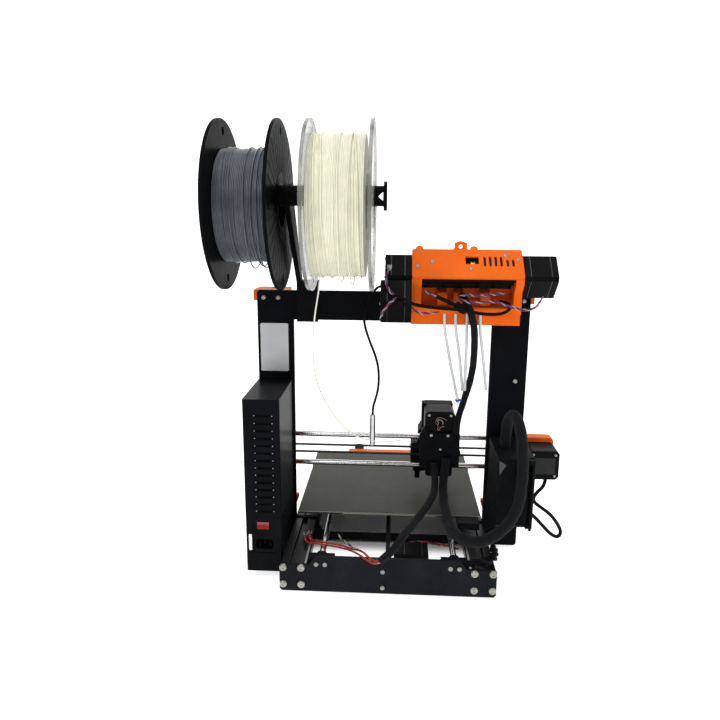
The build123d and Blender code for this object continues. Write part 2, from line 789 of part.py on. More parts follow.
with BuildPart() as steel_sheet:
    with BuildSketch(Plane.XY.offset(sheet_z)):
        with Locations((0, bed_middle_y)):
            RectangleRounded(bed_width, bed_depth, 3)
        with Locations((0, bed_rear_y)):
            SlotOverall(16, 5, mode=Mode.SUBTRACT)
    extrude(amount=sheet_thickness)
save(steel_sheet, "steel_sheet")

cover_x = -108.5
with BuildPart() as bed_cable_cover:
    with BuildSketch(Plane.YZ.offset(cover_x - 14.5)):
        with BuildLine():
            Polyline(
                (bed_rear_y + gap, heatbed_z - 6),
                (bed_rear_y + 23, heatbed_z - 6),
                (bed_rear_y + 25, heatbed_z - 3),
                (bed_rear_y + 22, sheet_z),
                (bed_rear_y + gap, sheet_z),
                close=True,
            )
        make_face()
    extrude(amount=29)
    fillet(edges().filter_by(Axis.X).group_by(Axis.Y)[-1], 1)
    with BuildSketch(Plane.XY.offset(heatbed_z - 6)):
        with Locations((cover_x, bed_rear_y - 5)):
            Rectangle(20, 12)
    extrude(amount=6 - gap)
save(bed_cable_cover, "bed_cable_cover")

# ---- X gantry ----
arm_outer = -x_motor_x + half_motor - 0.15
slot_half = 8.2


def x_end(side):
    """X end with its vertical bearing housing, nut seat, rod sockets and belt slot."""
    with BuildSketch(Plane.XY.offset(x_end_bottom)) as section:
        with Locations((side * (z_rod_x - (x_end_inner - x_end_outer) / 2), x_axis_y)):
            Rectangle(x_end_inner + x_end_outer, x_end_depth)
        with Locations((side * z_rod_x, z_axis_y)):
            Circle(bearing_radius + 4.5)
    extrude(section.sketch, amount=x_end_height)
    with BuildSketch(Plane.XY.offset(x_end_bottom)) as section:
        with Locations((side * screw_x, z_axis_y)):
            Circle(12)
    extrude(section.sketch, amount=8)
    with BuildSketch(Plane.XY.offset(x_end_bottom)) as section:
        with Locations((side * z_rod_x, z_axis_y)):
            Circle(bearing_radius + 0.02)
        with Locations((side * screw_x, z_axis_y)):
            Circle(5.2)
    extrude(section.sketch, amount=x_end_height, mode=Mode.SUBTRACT)
    with BuildSketch(Plane.XY.offset(x_end_bottom + 9)) as section:
        with Locations((side * screw_x, z_axis_y)):
            Circle(7)
    extrude(section.sketch, amount=x_end_height, mode=Mode.SUBTRACT)
    with BuildSketch(Plane.YZ.offset(side * (z_rod_x - x_end_inner))) as section:
        with Locations((x_axis_y, x_rod_low_z), (x_axis_y, x_rod_high_z)):
            Circle(rod_fit)
    extrude(section.sketch, amount=side * (x_rod_length / 2 - z_rod_x + x_end_inner + 0.5), mode=Mode.SUBTRACT)


def z_bearings_and_nut(side):
    """Two linear bearings in the housing and the flanged nut below the X end."""
    for low in (x_end_bottom + 1, x_end_top - 1 - bearing_length):
        with BuildSketch(Plane.XY.offset(low)) as section:
            with Locations((side * z_rod_x, z_axis_y)):
                Circle(bearing_radius)
                Circle(rod_radius + running, mode=Mode.SUBTRACT)
        extrude(section.sketch, amount=bearing_length)
    with BuildSketch(Plane.XY.offset(x_end_bottom - 3.5)) as section:
        with Locations((side * screw_x, z_axis_y)):
            Circle(11)
            Circle(screw_radius + 0.1, mode=Mode.SUBTRACT)
    extrude(section.sketch, amount=3.5)
    with BuildSketch(Plane.XY.offset(x_end_bottom)) as section:
        with Locations((side * screw_x, z_axis_y)):
            Circle(5.1)
            Circle(screw_radius + 0.1, mode=Mode.SUBTRACT)
    extrude(section.sketch, amount=8)


with BuildPart() as x_end_motor_side:
    x_end(-1)
    arm_middle = -(z_rod_x + x_end_outer + arm_outer) / 2
    arm_width = arm_outer - z_rod_x - x_end_outer
    with BuildSketch(Plane.XZ.offset(-x_axis_y - x_end_depth / 2)):
        with Locations((arm_middle, (x_end_bottom + x_end_top - 2) / 2)):
            Rectangle(arm_width, x_end_height - 2)
    extrude(amount=x_end_depth)
    with BuildSketch(Plane.XZ.offset(-x_axis_y - belt_width / 2 - 3.5)):
        with Locations(((-z_rod_x - arm_outer) / 2 + 14, x_belt_z)):
            Rectangle(arm_outer - z_rod_x + x_end_inner + 10, 2 * slot_half)
        with Locations((x_motor_x, x_belt_z)):
            Circle(14)
    extrude(amount=belt_width + 7, mode=Mode.SUBTRACT)
    with BuildSketch(Plane.XZ.offset(-x_axis_y - x_end_depth / 2)):
        with Locations((x_motor_x, x_belt_z)):
            Circle(motor_boss_radius + 0.3)
    extrude(amount=x_end_depth, mode=Mode.SUBTRACT)
    fillet(edges().filter_by(Axis.Y).group_by(Axis.X)[0], 6)
    z_bearings_and_nut(-1)
save(x_end_motor_side, "x_end_motor_side")

with BuildPart() as x_end_idler_side:
    x_end(1)
    with BuildSketch(Plane.XZ.offset(-x_axis_y - belt_width / 2 - 2)):
        with Locations(((x_idler_x + z_rod_x - x_end_inner) / 2, x_belt_z)):
            Rectangle(x_idler_x - z_rod_x + x_end_inner + 18, 2 * slot_half)
    extrude(amount=belt_width + 4, mode=Mode.SUBTRACT)
    with BuildSketch(Plane.XZ.offset(-x_axis_y - x_end_depth)):
        with Locations((x_idler_x, x_belt_z)):
            Circle(1.55)
    extrude(amount=2 * x_end_depth, mode=Mode.SUBTRACT)
    z_bearings_and_nut(1)
save(x_end_idler_side, "x_end_idler_side")

with BuildPart() as x_rods:
    with BuildSketch(Plane.YZ.offset(-x_rod_length / 2)):
        with Locations((x_axis_y, x_rod_low_z), (x_axis_y, x_rod_high_z)):
            Circle(rod_radius)
    extrude(amount=x_rod_length)
save(x_rods, "x_rods")

x_motor_face_y = x_axis_y + x_end_depth / 2
with BuildPart() as x_motor:
    motor_body(
        Plane(origin=(x_motor_x, x_motor_face_y, x_belt_z), x_dir=(1, 0, 0), z_dir=(0, -1, 0)),
        x_motor_length,
        x_end_depth - 4,
    )
save(x_motor, "x_motor")

belt_plane = Plane(origin=(x_motor_x, x_axis_y, x_belt_z), x_dir=(1, 0, 0), z_dir=(0, -1, 0))
with BuildPart() as x_pulley:
    toothed_pulley(belt_plane, motor_shaft_radius + running)
save(x_pulley, "x_pulley")

with BuildPart() as x_idler:
    idler_plane = Plane(origin=(x_idler_x, x_axis_y, x_belt_z), x_dir=(1, 0, 0), z_dir=(0, -1, 0))
    with BuildSketch(idler_plane.offset(-belt_width / 2 - 0.5)):
        Circle(pulley_radius)
    extrude(amount=belt_width + 1)
    for side in (-belt_width / 2 - 1.5, belt_width / 2 + 0.5):
        with BuildSketch(idler_plane.offset(side)):
            Circle(pulley_flange_radius)
        extrude(amount=1)
    with BuildSketch(idler_plane.offset(-x_end_depth / 2)):
        Circle(1.5)
    extrude(amount=x_end_depth)
save(x_idler, "x_idler")

with BuildPart() as x_belt:
    belt_loop(belt_plane, x_idler_x - x_motor_x)
save(x_belt, "x_belt")

# ---- X carriage and extruder ----
housing_half = bearing_radius + 3.2
upper_half = bearing_length
lower_half = 17
back_low = 106
back_high = 171

with BuildPart() as x_carriage:
    for rod_z, half in ((x_rod_high_z, upper_half), (x_rod_low_z, lower_half)):
        with BuildSketch(Plane.YZ.offset(carriage_x - half)):
            with Locations((x_axis_y, rod_z)):
                RectangleRounded(2 * housing_half, 2 * housing_half, 6)
        extrude(amount=2 * half)
    with BuildSketch(Plane.XZ.offset(-x_axis_y - housing_half)):
        with Locations((carriage_x, x_belt_z)):
            Rectangle(2 * lower_half, x_rod_spacing)
    extrude(amount=2 * housing_half)
    with BuildSketch(Plane.XZ.offset(-extruder_motor_back_y)):
        with Locations((carriage_x, (back_low + 14 + x_rod_high_z + 4) / 2)):
            RectangleRounded(52, x_rod_high_z + 4 - back_low - 14, 3)
    extrude(amount=extruder_motor_back_y - x_axis_y - housing_half + 2)
    with BuildSketch(Plane.XZ.offset(-carriage_back_y)):
        with Locations((carriage_x, (back_low + 14 + back_high) / 2)):
            RectangleRounded(57, back_high - back_low - 14, 3)
        with Locations((carriage_x, back_low + 14)):
            RectangleRounded(38, 28, 4)
    extrude(amount=carriage_back_y - extruder_motor_back_y)
    with BuildSketch(Plane.XZ.offset(-extruder_motor_back_y)):
        with Locations((carriage_x, extruder_motor_z)):
            Rectangle(motor_size + 2 * gap, motor_size + gap)
    extrude(amount=extruder_motor_length + gap, mode=Mode.SUBTRACT)
    with BuildSketch(Plane.YZ.offset(carriage_x - upper_half)):
        with Locations((x_axis_y, x_rod_low_z), (x_axis_y, x_rod_high_z)):
            Circle(bearing_radius + 0.02)
        with Locations((x_axis_y, x_belt_z)):
            Rectangle(belt_width + 4, 2 * belt_outer + 4)
    extrude(amount=2 * upper_half, mode=Mode.SUBTRACT)
    with BuildSketch(Plane.XZ.offset(-carriage_back_y)):
        with Locations((carriage_x + 14, x_rod_high_z - 1), (carriage_x - 14, x_rod_high_z - 1), (carriage_x + 4, x_belt_z + 7.5)):
            Circle(2)
    extrude(amount=2, mode=Mode.SUBTRACT)
    for start, rod_z in (
        (carriage_x - bearing_length + 0.1, x_rod_high_z),
        (carriage_x - 0.1, x_rod_high_z),
        (carriage_x - bearing_length / 2, x_rod_low_z),
    ):
        with BuildSketch(Plane.YZ.offset(start)):
            with Locations((x_axis_y, rod_z)):
                Circle(bearing_radius)
                Circle(rod_radius + running, mode=Mode.SUBTRACT)
        extrude(amount=bearing_length)
save(x_carriage, "x_carriage")

body_left = -42
body_right = -99
body_front = -92
body_rear = x_axis_y - housing_half - gap
body_bottom = 100
body_top = extruder_motor_z + half_motor
sink_radius = 11.2
sink_bottom = nozzle_z + 18.6
collar_length = 42
gear_chamber = 9

shoulder_z = x_rod_high_z + housing_half + gap
upper_left = carriage_x + half_motor - 1.3
upper_right = carriage_x - half_motor
upper_front = nozzle_y - 3

with BuildPart() as extruder_body:
    with BuildSketch(Plane.XY.offset(body_bottom)):
        with Locations(((body_left + body_right) / 2, (body_front + body_rear) / 2)):
            Rectangle(body_left - body_right, body_rear - body_front)
    extrude(amount=shoulder_z - body_bottom)
    chamfer(edges().filter_by(Axis.Y).group_by(Axis.Z)[-1], 6)
    with BuildSketch(Plane.YZ.offset(upper_right)):
        with BuildLine():
            Polyline(
                (extruder_face_y - gap, shoulder_z),
                (extruder_face_y - gap, body_top),
                (upper_front + 5, body_top),
                (upper_front, body_top - 5),
                (upper_front, shoulder_z - 6),
                (body_rear, shoulder_z - 6),
                (body_rear, shoulder_z),
                close=True,
            )
        make_face()
    extrude(amount=upper_left - upper_right)
    with BuildSketch(Plane.XY.offset(body_bottom - 2)):
        with Locations((hotend_x, nozzle_y)):
            Circle(sink_radius + 1.2)
    extrude(amount=sink_bottom + collar_length + gap - body_bottom + 2, mode=Mode.SUBTRACT)
    with BuildSketch(Plane.YZ.offset(body_left)):
        with Locations((nozzle_y, 120)):
            Circle(15)
    extrude(amount=hotend_x - body_left, mode=Mode.SUBTRACT)
    with BuildSketch(Plane.XZ.offset(-extruder_face_y + gap)):
        with Locations((carriage_x, extruder_motor_z)):
            Circle(motor_boss_radius + 0.3)
    extrude(amount=motor_boss_height + 1, mode=Mode.SUBTRACT)
    with BuildSketch(Plane.XZ.offset(-extruder_face_y + gap)):
        with Locations((carriage_x, extruder_motor_z)):
            Circle(gear_chamber)
        with Locations(((carriage_x + upper_left) / 2 + 2, extruder_motor_z)):
            Rectangle(upper_left - carriage_x + 4, 2 * gear_chamber - 4)
    extrude(amount=extruder_face_y - upper_front - 2.2, mode=Mode.SUBTRACT)
    with BuildSketch(Plane.XY.offset(sink_bottom + collar_length)):
        with Locations((hotend_x, nozzle_y)):
            Circle(1.3)
    extrude(amount=body_top - sink_bottom - collar_length, mode=Mode.SUBTRACT)
    with BuildSketch(Plane.XY.offset(93)):
        with Locations((level_probe_x, level_probe_y)):
            Circle(level_probe_radius + 3)
    extrude(amount=body_bottom - gap - 93)
    with BuildSketch(Plane.XY.offset(93)):
        with Locations((body_left - 6, level_probe_y - 1)):
            Rectangle(11, 8)
    extrude(amount=body_bottom - 93)
    with BuildSketch(Plane.XY.offset(nozzle_z + 1.5)):
        with Locations((level_probe_x, level_probe_y)):
            Circle(level_probe_radius)
    extrude(amount=body_bottom - gap - nozzle_z - 1.5)
save(extruder_body, "extruder_body")

with BuildPart() as extruder_motor:
    motor_body(
        Plane(origin=(carriage_x, extruder_face_y, extruder_motor_z), x_dir=(1, 0, 0), z_dir=(0, -1, 0)),
        extruder_motor_length,
        19,
    )
save(extruder_motor, "extruder_motor")

door_x = upper_left + gap
door_thick = 4
door_hinge_z = shoulder_z + 3.5
door_front = upper_front + 2
door_rear = extruder_face_y - 4

with BuildPart() as extruder_door:
    with BuildSketch(Plane.YZ.offset(door_x)):
        with BuildLine():
            Polyline(
                (door_front, door_hinge_z),
                (door_rear, door_hinge_z),
                (door_rear, body_top),
                (door_front + 5, body_top),
                (door_front, body_top - 5),
                close=True,
            )
        make_face()
    extrude(amount=door_thick)
    with BuildSketch(Plane.XZ.offset(-door_rear)):
        with Locations((door_x + door_thick / 2, door_hinge_z)):
            Circle(door_thick / 2)
    extrude(amount=door_rear - door_front)
save(extruder_door, "extruder_door")

with BuildPart() as hotend:
    with BuildSketch(Plane.XZ.offset(-nozzle_y)):
        with BuildLine():
            Polyline(
                (hotend_x, nozzle_z),
                (hotend_x + 0.6, nozzle_z),
                (hotend_x + 3, nozzle_z + 2),
                (hotend_x + 3.5, nozzle_z + 2),
                (hotend_x + 3.5, nozzle_z + 5),
                (hotend_x + 2, nozzle_z + 5),
                (hotend_x + 2, sink_bottom),
                (hotend_x + 4.5, sink_bottom),
                (hotend_x + 4.5, sink_bottom + collar_length),
                (hotend_x, sink_bottom + collar_length),
                close=True,
            )
        make_face()
    revolve(axis=Axis((hotend_x, nozzle_y, 0), (0, 0, 1)))
    for fin in range(11):
        with BuildSketch(Plane.XY.offset(sink_bottom + fin * 2.5)):
            with Locations((hotend_x, nozzle_y)):
                Circle(sink_radius)
        extrude(amount=1)
    with BuildSketch(Plane.XY.offset(sink_bottom + 32)):
        with Locations((hotend_x, nozzle_y)):
            Circle(8)
    extrude(amount=3)
    with BuildSketch(Plane.XY.offset(nozzle_z + 5)):
        with Locations((hotend_x - 4, nozzle_y)):
            Rectangle(20, 16)
    extrude(amount=11.5)
save(hotend, "hotend")

fan_size = 40
fan_depth = 10
fan_x = body_left + gap
fan_z = 120
fan_bore = 18.8
blower_left = -45
blower_right = -95
blower_rear = body_front - gap
blower_depth = 15
blower_z = 133
blower_wall = 1.5

with BuildPart() as cooling_fans:
    with BuildSketch(Plane.YZ.offset(fan_x)):
        with Locations((nozzle_y, fan_z)):
            RectangleRounded(fan_size, fan_size, 3)
            Circle(fan_bore, mode=Mode.SUBTRACT)
    extrude(amount=fan_depth)
    with BuildSketch(Plane.YZ.offset(fan_x)):
        with Locations((nozzle_y, fan_z)):
            Circle(9)
            for spoke in (45, 135):
                Rectangle(2 * fan_bore + 1, 1.8, rotation=spoke)
    extrude(amount=1.5)
    with BuildSketch(Plane.XZ.offset(-blower_rear)):
        with Locations(((blower_left + blower_right) / 2, blower_z)):
            RectangleRounded(50, 50, 10)
        with Locations((blower_right + 11, blower_z - 25)):
            Rectangle(20, 16)
    extrude(amount=blower_depth)
    with BuildSketch(Plane.XZ.offset(-blower_rear + blower_wall)):
        with Locations(((blower_left + blower_right) / 2, blower_z)):
            Circle(22)
        with Locations((blower_right + 11, blower_z - 26)):
            Rectangle(17, 22)
    extrude(amount=blower_depth - 2 * blower_wall, mode=Mode.SUBTRACT)
    with BuildSketch(Plane.XZ.offset(-blower_rear + blower_depth - 3)):
        with Locations(((blower_left + blower_right) / 2, blower_z)):
            Circle(16)
    extrude(amount=4, mode=Mode.SUBTRACT)
save(cooling_fans, "cooling_fans")

with BuildPart() as hotend_fan_rotor:
    rotor_plane = Plane(origin=(fan_x + 2, nozzle_y, fan_z), x_dir=(0, 1, 0), z_dir=(1, 0, 0))
    with BuildSketch(rotor_plane):
        Circle(8.5)
    extrude(amount=7)
    with BuildSketch(rotor_plane):
        with PolarLocations(13, 7):
            Rectangle(10, 2.2, rotation=25)
    extrude(amount=6)
save(hotend_fan_rotor, "hotend_fan_rotor")

with BuildPart() as print_fan_rotor:
    blower_plane = Plane(
        origin=((blower_left + blower_right) / 2, blower_rear - blower_wall - 0.5, blower_z),
        x_dir=(1, 0, 0),
        z_dir=(0, -1, 0),
    )
    with BuildSketch(blower_plane):
        Circle(19)
    extrude(amount=1)
    with BuildSketch(blower_plane):
        Circle(10)
    extrude(amount=9)
    with BuildSketch(blower_plane):
        with PolarLocations(17, 16):
            Rectangle(4.5, 0.9, rotation=30)
    extrude(amount=10)
save(print_fan_rotor, "print_fan_rotor")

# ---- Display ----
display_half = 76
display_wall = 2.5
display_back_y = -224
display_top_y = -264
display_top_z = 50
display_front_y = machine_front
display_low_z = 10
display_length = ((display_front_y - display_top_y) ** 2 + (display_top_z - 14 - display_low_z) ** 2) ** 0.5
panel_tilt = degrees(atan2(display_top_z - 14 - display_low_z, display_top_y - display_front_y))
panel = Plane(
    origin=(0, display_top_y, display_top_z),
    x_dir=(1, 0, 0),
    z_dir=(0, -(display_top_z - 14 - display_low_z), display_top_y - display_front_y),
)
screen_width = 90
screen_height = 28
screen_x = -22
screen_drop = -20
knob_x = 58
knob_drop = -14
button_drop = -34

with BuildPart() as display_cover:
    with BuildSketch(Plane.YZ.offset(-display_half)):
        with BuildLine():
            Polyline(
                (display_back_y, display_low_z),
                (display_back_y, display_top_z),
                (display_top_y, display_top_z),
                (display_front_y, display_low_z + 14),
                (display_front_y, display_low_z),
                close=True,
            )
        make_face()
    extrude(amount=2 * display_half)
    with BuildSketch(Plane.YZ.offset(-display_half + display_wall)):
        with BuildLine():
            Polyline(
                (display_back_y - 20, display_low_z - 1),
                (display_back_y - 20, display_top_z - display_wall),
                (display_top_y, display_top_z - display_wall),
                (display_front_y + display_wall, display_low_z + 12),
                (display_front_y + display_wall, display_low_z - 1),
                close=True,
            )
        make_face()
    extrude(amount=2 * (display_half - display_wall), mode=Mode.SUBTRACT)
    with BuildSketch(panel):
        with Locations((screen_x, screen_drop)):
            Rectangle(screen_width, screen_height)
        with Locations((knob_x, knob_drop)):
            Circle(4.5)
        with Locations((knob_x, button_drop)):
            Circle(4)
    extrude(amount=-8, mode=Mode.SUBTRACT)
    for side in (-1, 1):
        with BuildSketch(Plane.YZ.offset(side * (display_half - 12))):
            with Locations(((front_plate_y + display_back_y) / 2, 28)):
                Rectangle(front_plate_y - display_back_y, 28)
        extrude(amount=side * 8)
save(display_cover, "display_cover")

with BuildPart() as display_screen:
    with BuildSketch(panel.offset(-1.2)):
        with Locations((screen_x, screen_drop)):
            Rectangle(screen_width - 2 * gap, screen_height - 2 * gap)
    extrude(amount=-7)
    with BuildSketch(panel.offset(-5)):
        with Locations((0, -22)):
            Rectangle(2 * display_half - 14, 36)
    extrude(amount=-1.6)
save(display_screen, "display_screen")

with BuildPart() as display_knob:
    with BuildSketch(panel.offset(2.5)):
        with Locations((knob_x, knob_drop)):
            Circle(9)
    extrude(amount=9, taper=4)
    with BuildSketch(panel.offset(-4)):
        with Locations((knob_x, knob_drop)):
            Circle(3)
    extrude(amount=6.5)
save(display_knob, "display_knob")

# ---- Filament changer on the beam ----
mmu_top_y = mmu_ridge_y - 35
mmu_top_z = mmu_ridge_z + 33
mmu_shaft_y = mmu_ridge_y - 20
mmu_shaft_z = mmu_ridge_z - 9
mmu_shaft_radius = 3
cavity_rear_y = 8
cavity_floor_z = tube_ledge_z + 8
cover_face = Plane(
    origin=((mmu_left + mmu_right) / 2, (mmu_top_y + mmu_ridge_y) / 2, (mmu_top_z + mmu_ridge_z) / 2),
    x_dir=(-1, 0, 0),
    z_dir=(0, 33, 35),
)

with BuildPart() as mmu_body:
    with BuildSketch(Plane.YZ.offset(mmu_right)):
        with BuildLine():
            Polyline(
                (mmu_top_y, mmu_top_z - 3.5),
                (mmu_ridge_y - 3, mmu_ridge_z - 1),
                (mmu_ridge_y - 3, mmu_ridge_z - 10),
                (tube_ledge_y + 3.4, tube_ledge_z + 28),
                (tube_ledge_y + 3, tube_ledge_z + 12),
                (tube_ledge_y + 3, tube_ledge_z),
                (tube_ledge_y - 2.6, tube_ledge_z),
                (tube_ledge_y - 2.6, window_top + 1),
                (gap, window_top + 1),
                (gap, frame_top + gap),
                (front_face_y, frame_top + gap),
                (front_face_y, frame_top + 20),
                (front_face_y - 10, frame_top + 30),
                close=True,
            )
        make_face()
    extrude(amount=mmu_left - mmu_right)
    with BuildSketch(Plane.YZ.offset(mmu_cavity_right)):
        with BuildLine():
            Polyline(
                (mmu_ridge_y + 10, mmu_ridge_z - 3),
                (mmu_ridge_y - 5, mmu_ridge_z - 3),
                (mmu_top_y + 1, mmu_top_z - 9),
                (cavity_rear_y, mmu_top_z - 9),
                (cavity_rear_y, cavity_floor_z),
                (mmu_ridge_y + 10, cavity_floor_z),
                close=True,
            )
        make_face()
    extrude(amount=mmu_cavity_left - mmu_cavity_right, mode=Mode.SUBTRACT)
    with BuildSketch(Plane.YZ.offset(mmu_right)):
        with Locations((mmu_shaft_y, mmu_shaft_z)):
            Circle(mmu_shaft_radius + 0.1)
    extrude(amount=mmu_left - mmu_right, mode=Mode.SUBTRACT)
    with BuildSketch(cover_face):
        with Locations((31.5, 4)):
            Rectangle(70, 18)
    extrude(amount=-10, mode=Mode.SUBTRACT)
    with BuildSketch(Plane.XZ.offset(-gap)):
        with Locations((-top_screw_inner_x, top_screw_z)):
            Circle(screw_head_radius + gap)
    extrude(amount=-screw_head_height - gap, mode=Mode.SUBTRACT)
save(mmu_body, "mmu_body")

cover_length = (35**2 + 33**2) ** 0.5
eyelet_x = -87.5
with BuildPart() as mmu_cover:
    with BuildSketch(cover_face):
        RectangleRounded(mmu_left - mmu_right, cover_length, 2)
        with Locations((0, cover_length / 2)):
            with Locations((mmu_left - mmu_right - 132, 1), (-61, 1)):
                Circle(5)
    extrude(amount=-2.4)
    with BuildSketch(cover_face):
        with Locations((6, 5)):
            Rectangle(17, 13)
        with Locations(*[(x, 3.5) for x in (22, 29, 36, 43)]):
            SlotOverall(17, 3.4, rotation=90)
        with Locations(*[(x, 1) for x in (51, 58)]):
            SlotOverall(12, 3.4, rotation=90)
    extrude(amount=-3, mode=Mode.SUBTRACT)
    with BuildSketch(Plane.XZ.offset(-mmu_top_y)):
        with Locations((eyelet_x, mmu_top_z - 1)):
            Rectangle(18, 4)
        with Locations((eyelet_x, mmu_top_z + 3.5)):
            Circle(7)
            Circle(2.6, mode=Mode.SUBTRACT)
    extrude(amount=4)
save(mmu_cover, "mmu_cover")


with BuildPart() as mmu_pulley_shaft:
    shaft_start = mmu_right + gap
    with BuildSketch(Plane(origin=(shaft_start, mmu_shaft_y, mmu_shaft_z), x_dir=(0, 1, 0), z_dir=(1, 0, 0))):
        Circle(mmu_shaft_radius)
    extrude(amount=mmu_left - mmu_right - 2 * gap)
    for k in range(5):
        start = mmu_cavity_right + 9 + k * 21
        with BuildSketch(Plane(origin=(start, mmu_shaft_y, mmu_shaft_z), x_dir=(0, 1, 0), z_dir=(1, 0, 0))):
            Circle(7)
            with PolarLocations(7, 14):
                Circle(0.8, mode=Mode.SUBTRACT)
        extrude(amount=17)
save(mmu_pulley_shaft, "mmu_pulley_shaft")

# ---- Spool holder ----
post_width = 6.5
arm_left = machine_right
arm_right = 8.2

with BuildPart() as spool_holder:
    with BuildSketch(Plane.YZ.offset(clip_right)):
        with BuildLine():
            Polyline(
                (gap, frame_top + gap),
                (gap, 330),
                (6, 330),
                (6, frame_top + 14),
                (front_face_y - 5, frame_top + 14),
                (front_face_y - 5, 362),
                (front_face_y - gap, 362),
                (front_face_y - gap, frame_top + gap),
                close=True,
            )
        make_face()
    extrude(amount=clip_left - clip_right)
    with BuildSketch(Plane.YZ.offset(clip_left - post_width)):
        with BuildLine():
            Polyline(
                (front_face_y - 4, frame_top + 12),
                (6, frame_top + 12),
                (spool_axis_y + 12, arm_z - 14),
                (spool_axis_y + 12, arm_z + 6),
                (spool_axis_y - 10, arm_z + 14),
                close=True,
            )
        make_face()
    extrude(amount=post_width)
    with BuildSketch(Plane.YZ.offset(arm_right)):
        with Locations((spool_axis_y, arm_z)):
            Circle(arm_radius)
    extrude(amount=arm_left - arm_right)
    for end in (arm_right, arm_left - arm_flange_thickness):
        with BuildSketch(Plane.YZ.offset(end)):
            with Locations((spool_axis_y, arm_z)):
                Circle(arm_flange_radius)
        extrude(amount=arm_flange_thickness)
    for start, out in ((arm_right, 1), (arm_left, -1)):
        with BuildSketch(Plane.YZ.offset(start)):
            with Locations((spool_axis_y, arm_z)):
                Circle(arm_radius - arm_wall)
                Rectangle(2 * arm_radius, 2, rotation=45, mode=Mode.SUBTRACT)
                Rectangle(2 * arm_radius, 2, rotation=-45, mode=Mode.SUBTRACT)
        extrude(amount=out * 84, mode=Mode.SUBTRACT)
    with BuildSketch(Plane.XZ.offset(-spool_axis_y - arm_radius - 1)):
        with BuildLine():
            Polyline(
                (arm_right + arm_flange_thickness + 0.6, arm_z - 5.5),
                (arm_right + arm_flange_thickness + 0.6, arm_z + 5.5),
                (arm_right + arm_flange_thickness + 6.8, arm_z),
                close=True,
            )
        make_face()
    extrude(amount=2 * arm_radius + 2, mode=Mode.SUBTRACT)
save(spool_holder, "spool_holder")


def spool_body(right, left, holes):
    """Spool with two flanges on a hollow hub, pierced by rim holes."""
    for start in (right, left - spool_flange):
        with BuildSketch(Plane.YZ.offset(start)) as section:
            with Locations((spool_axis_y, spool_axis_z)):
                Circle(spool_radius)
                with PolarLocations(spool_radius - 14, holes):
                    Circle(5, mode=Mode.SUBTRACT)
        extrude(section.sketch, amount=spool_flange)
    with BuildSketch(Plane.YZ.offset(right)) as section:
        with Locations((spool_axis_y, spool_axis_z)):
            Circle(spool_hub_radius + 14)
    extrude(section.sketch, amount=left - right)
    with BuildSketch(Plane.YZ.offset(right)) as section:
        with Locations((spool_axis_y, spool_axis_z)):
            Circle(spool_hub_radius)
    extrude(section.sketch, amount=left - right, mode=Mode.SUBTRACT)


def winding(right, left, radius):
    """Filament wound between the flanges."""
    with BuildSketch(Plane.YZ.offset(right + spool_flange + gap)) as section:
        with Locations((spool_axis_y, spool_axis_z)):
            Circle(radius)
            Circle(spool_hub_radius + 14 + 0.1, mode=Mode.SUBTRACT)
    extrude(section.sketch, amount=left - right - 2 * spool_flange - 2 * gap)


with BuildPart() as grey_spool:
    spool_body(grey_right_x, grey_left_x, 4)
save(grey_spool, "grey_spool")

with BuildPart() as white_spool:
    spool_body(white_right_x, white_left_x, 4)
save(white_spool, "white_spool")

with BuildPart() as grey_filament:
    winding(grey_right_x, grey_left_x, grey_winding_radius)
save(grey_filament, "grey_filament")

with BuildPart() as white_filament:
    winding(white_right_x, white_left_x, white_winding_radius)
save(white_filament, "white_filament")

# ---- Hanging probe ----
with BuildPart() as filament_probe:
    with BuildSketch(Plane.XY.offset(probe_bottom + 3)):
        with Locations((probe_x, probe_y)):
            Circle(probe_radius)
    extrude(amount=probe_top - probe_bottom - 3)
    with BuildSketch(Plane.XY.offset(probe_bottom)):
        with Locations((probe_x, probe_y)):
            Circle(probe_radius - 0.6)
    extrude(amount=3)
save(filament_probe, "filament_probe")

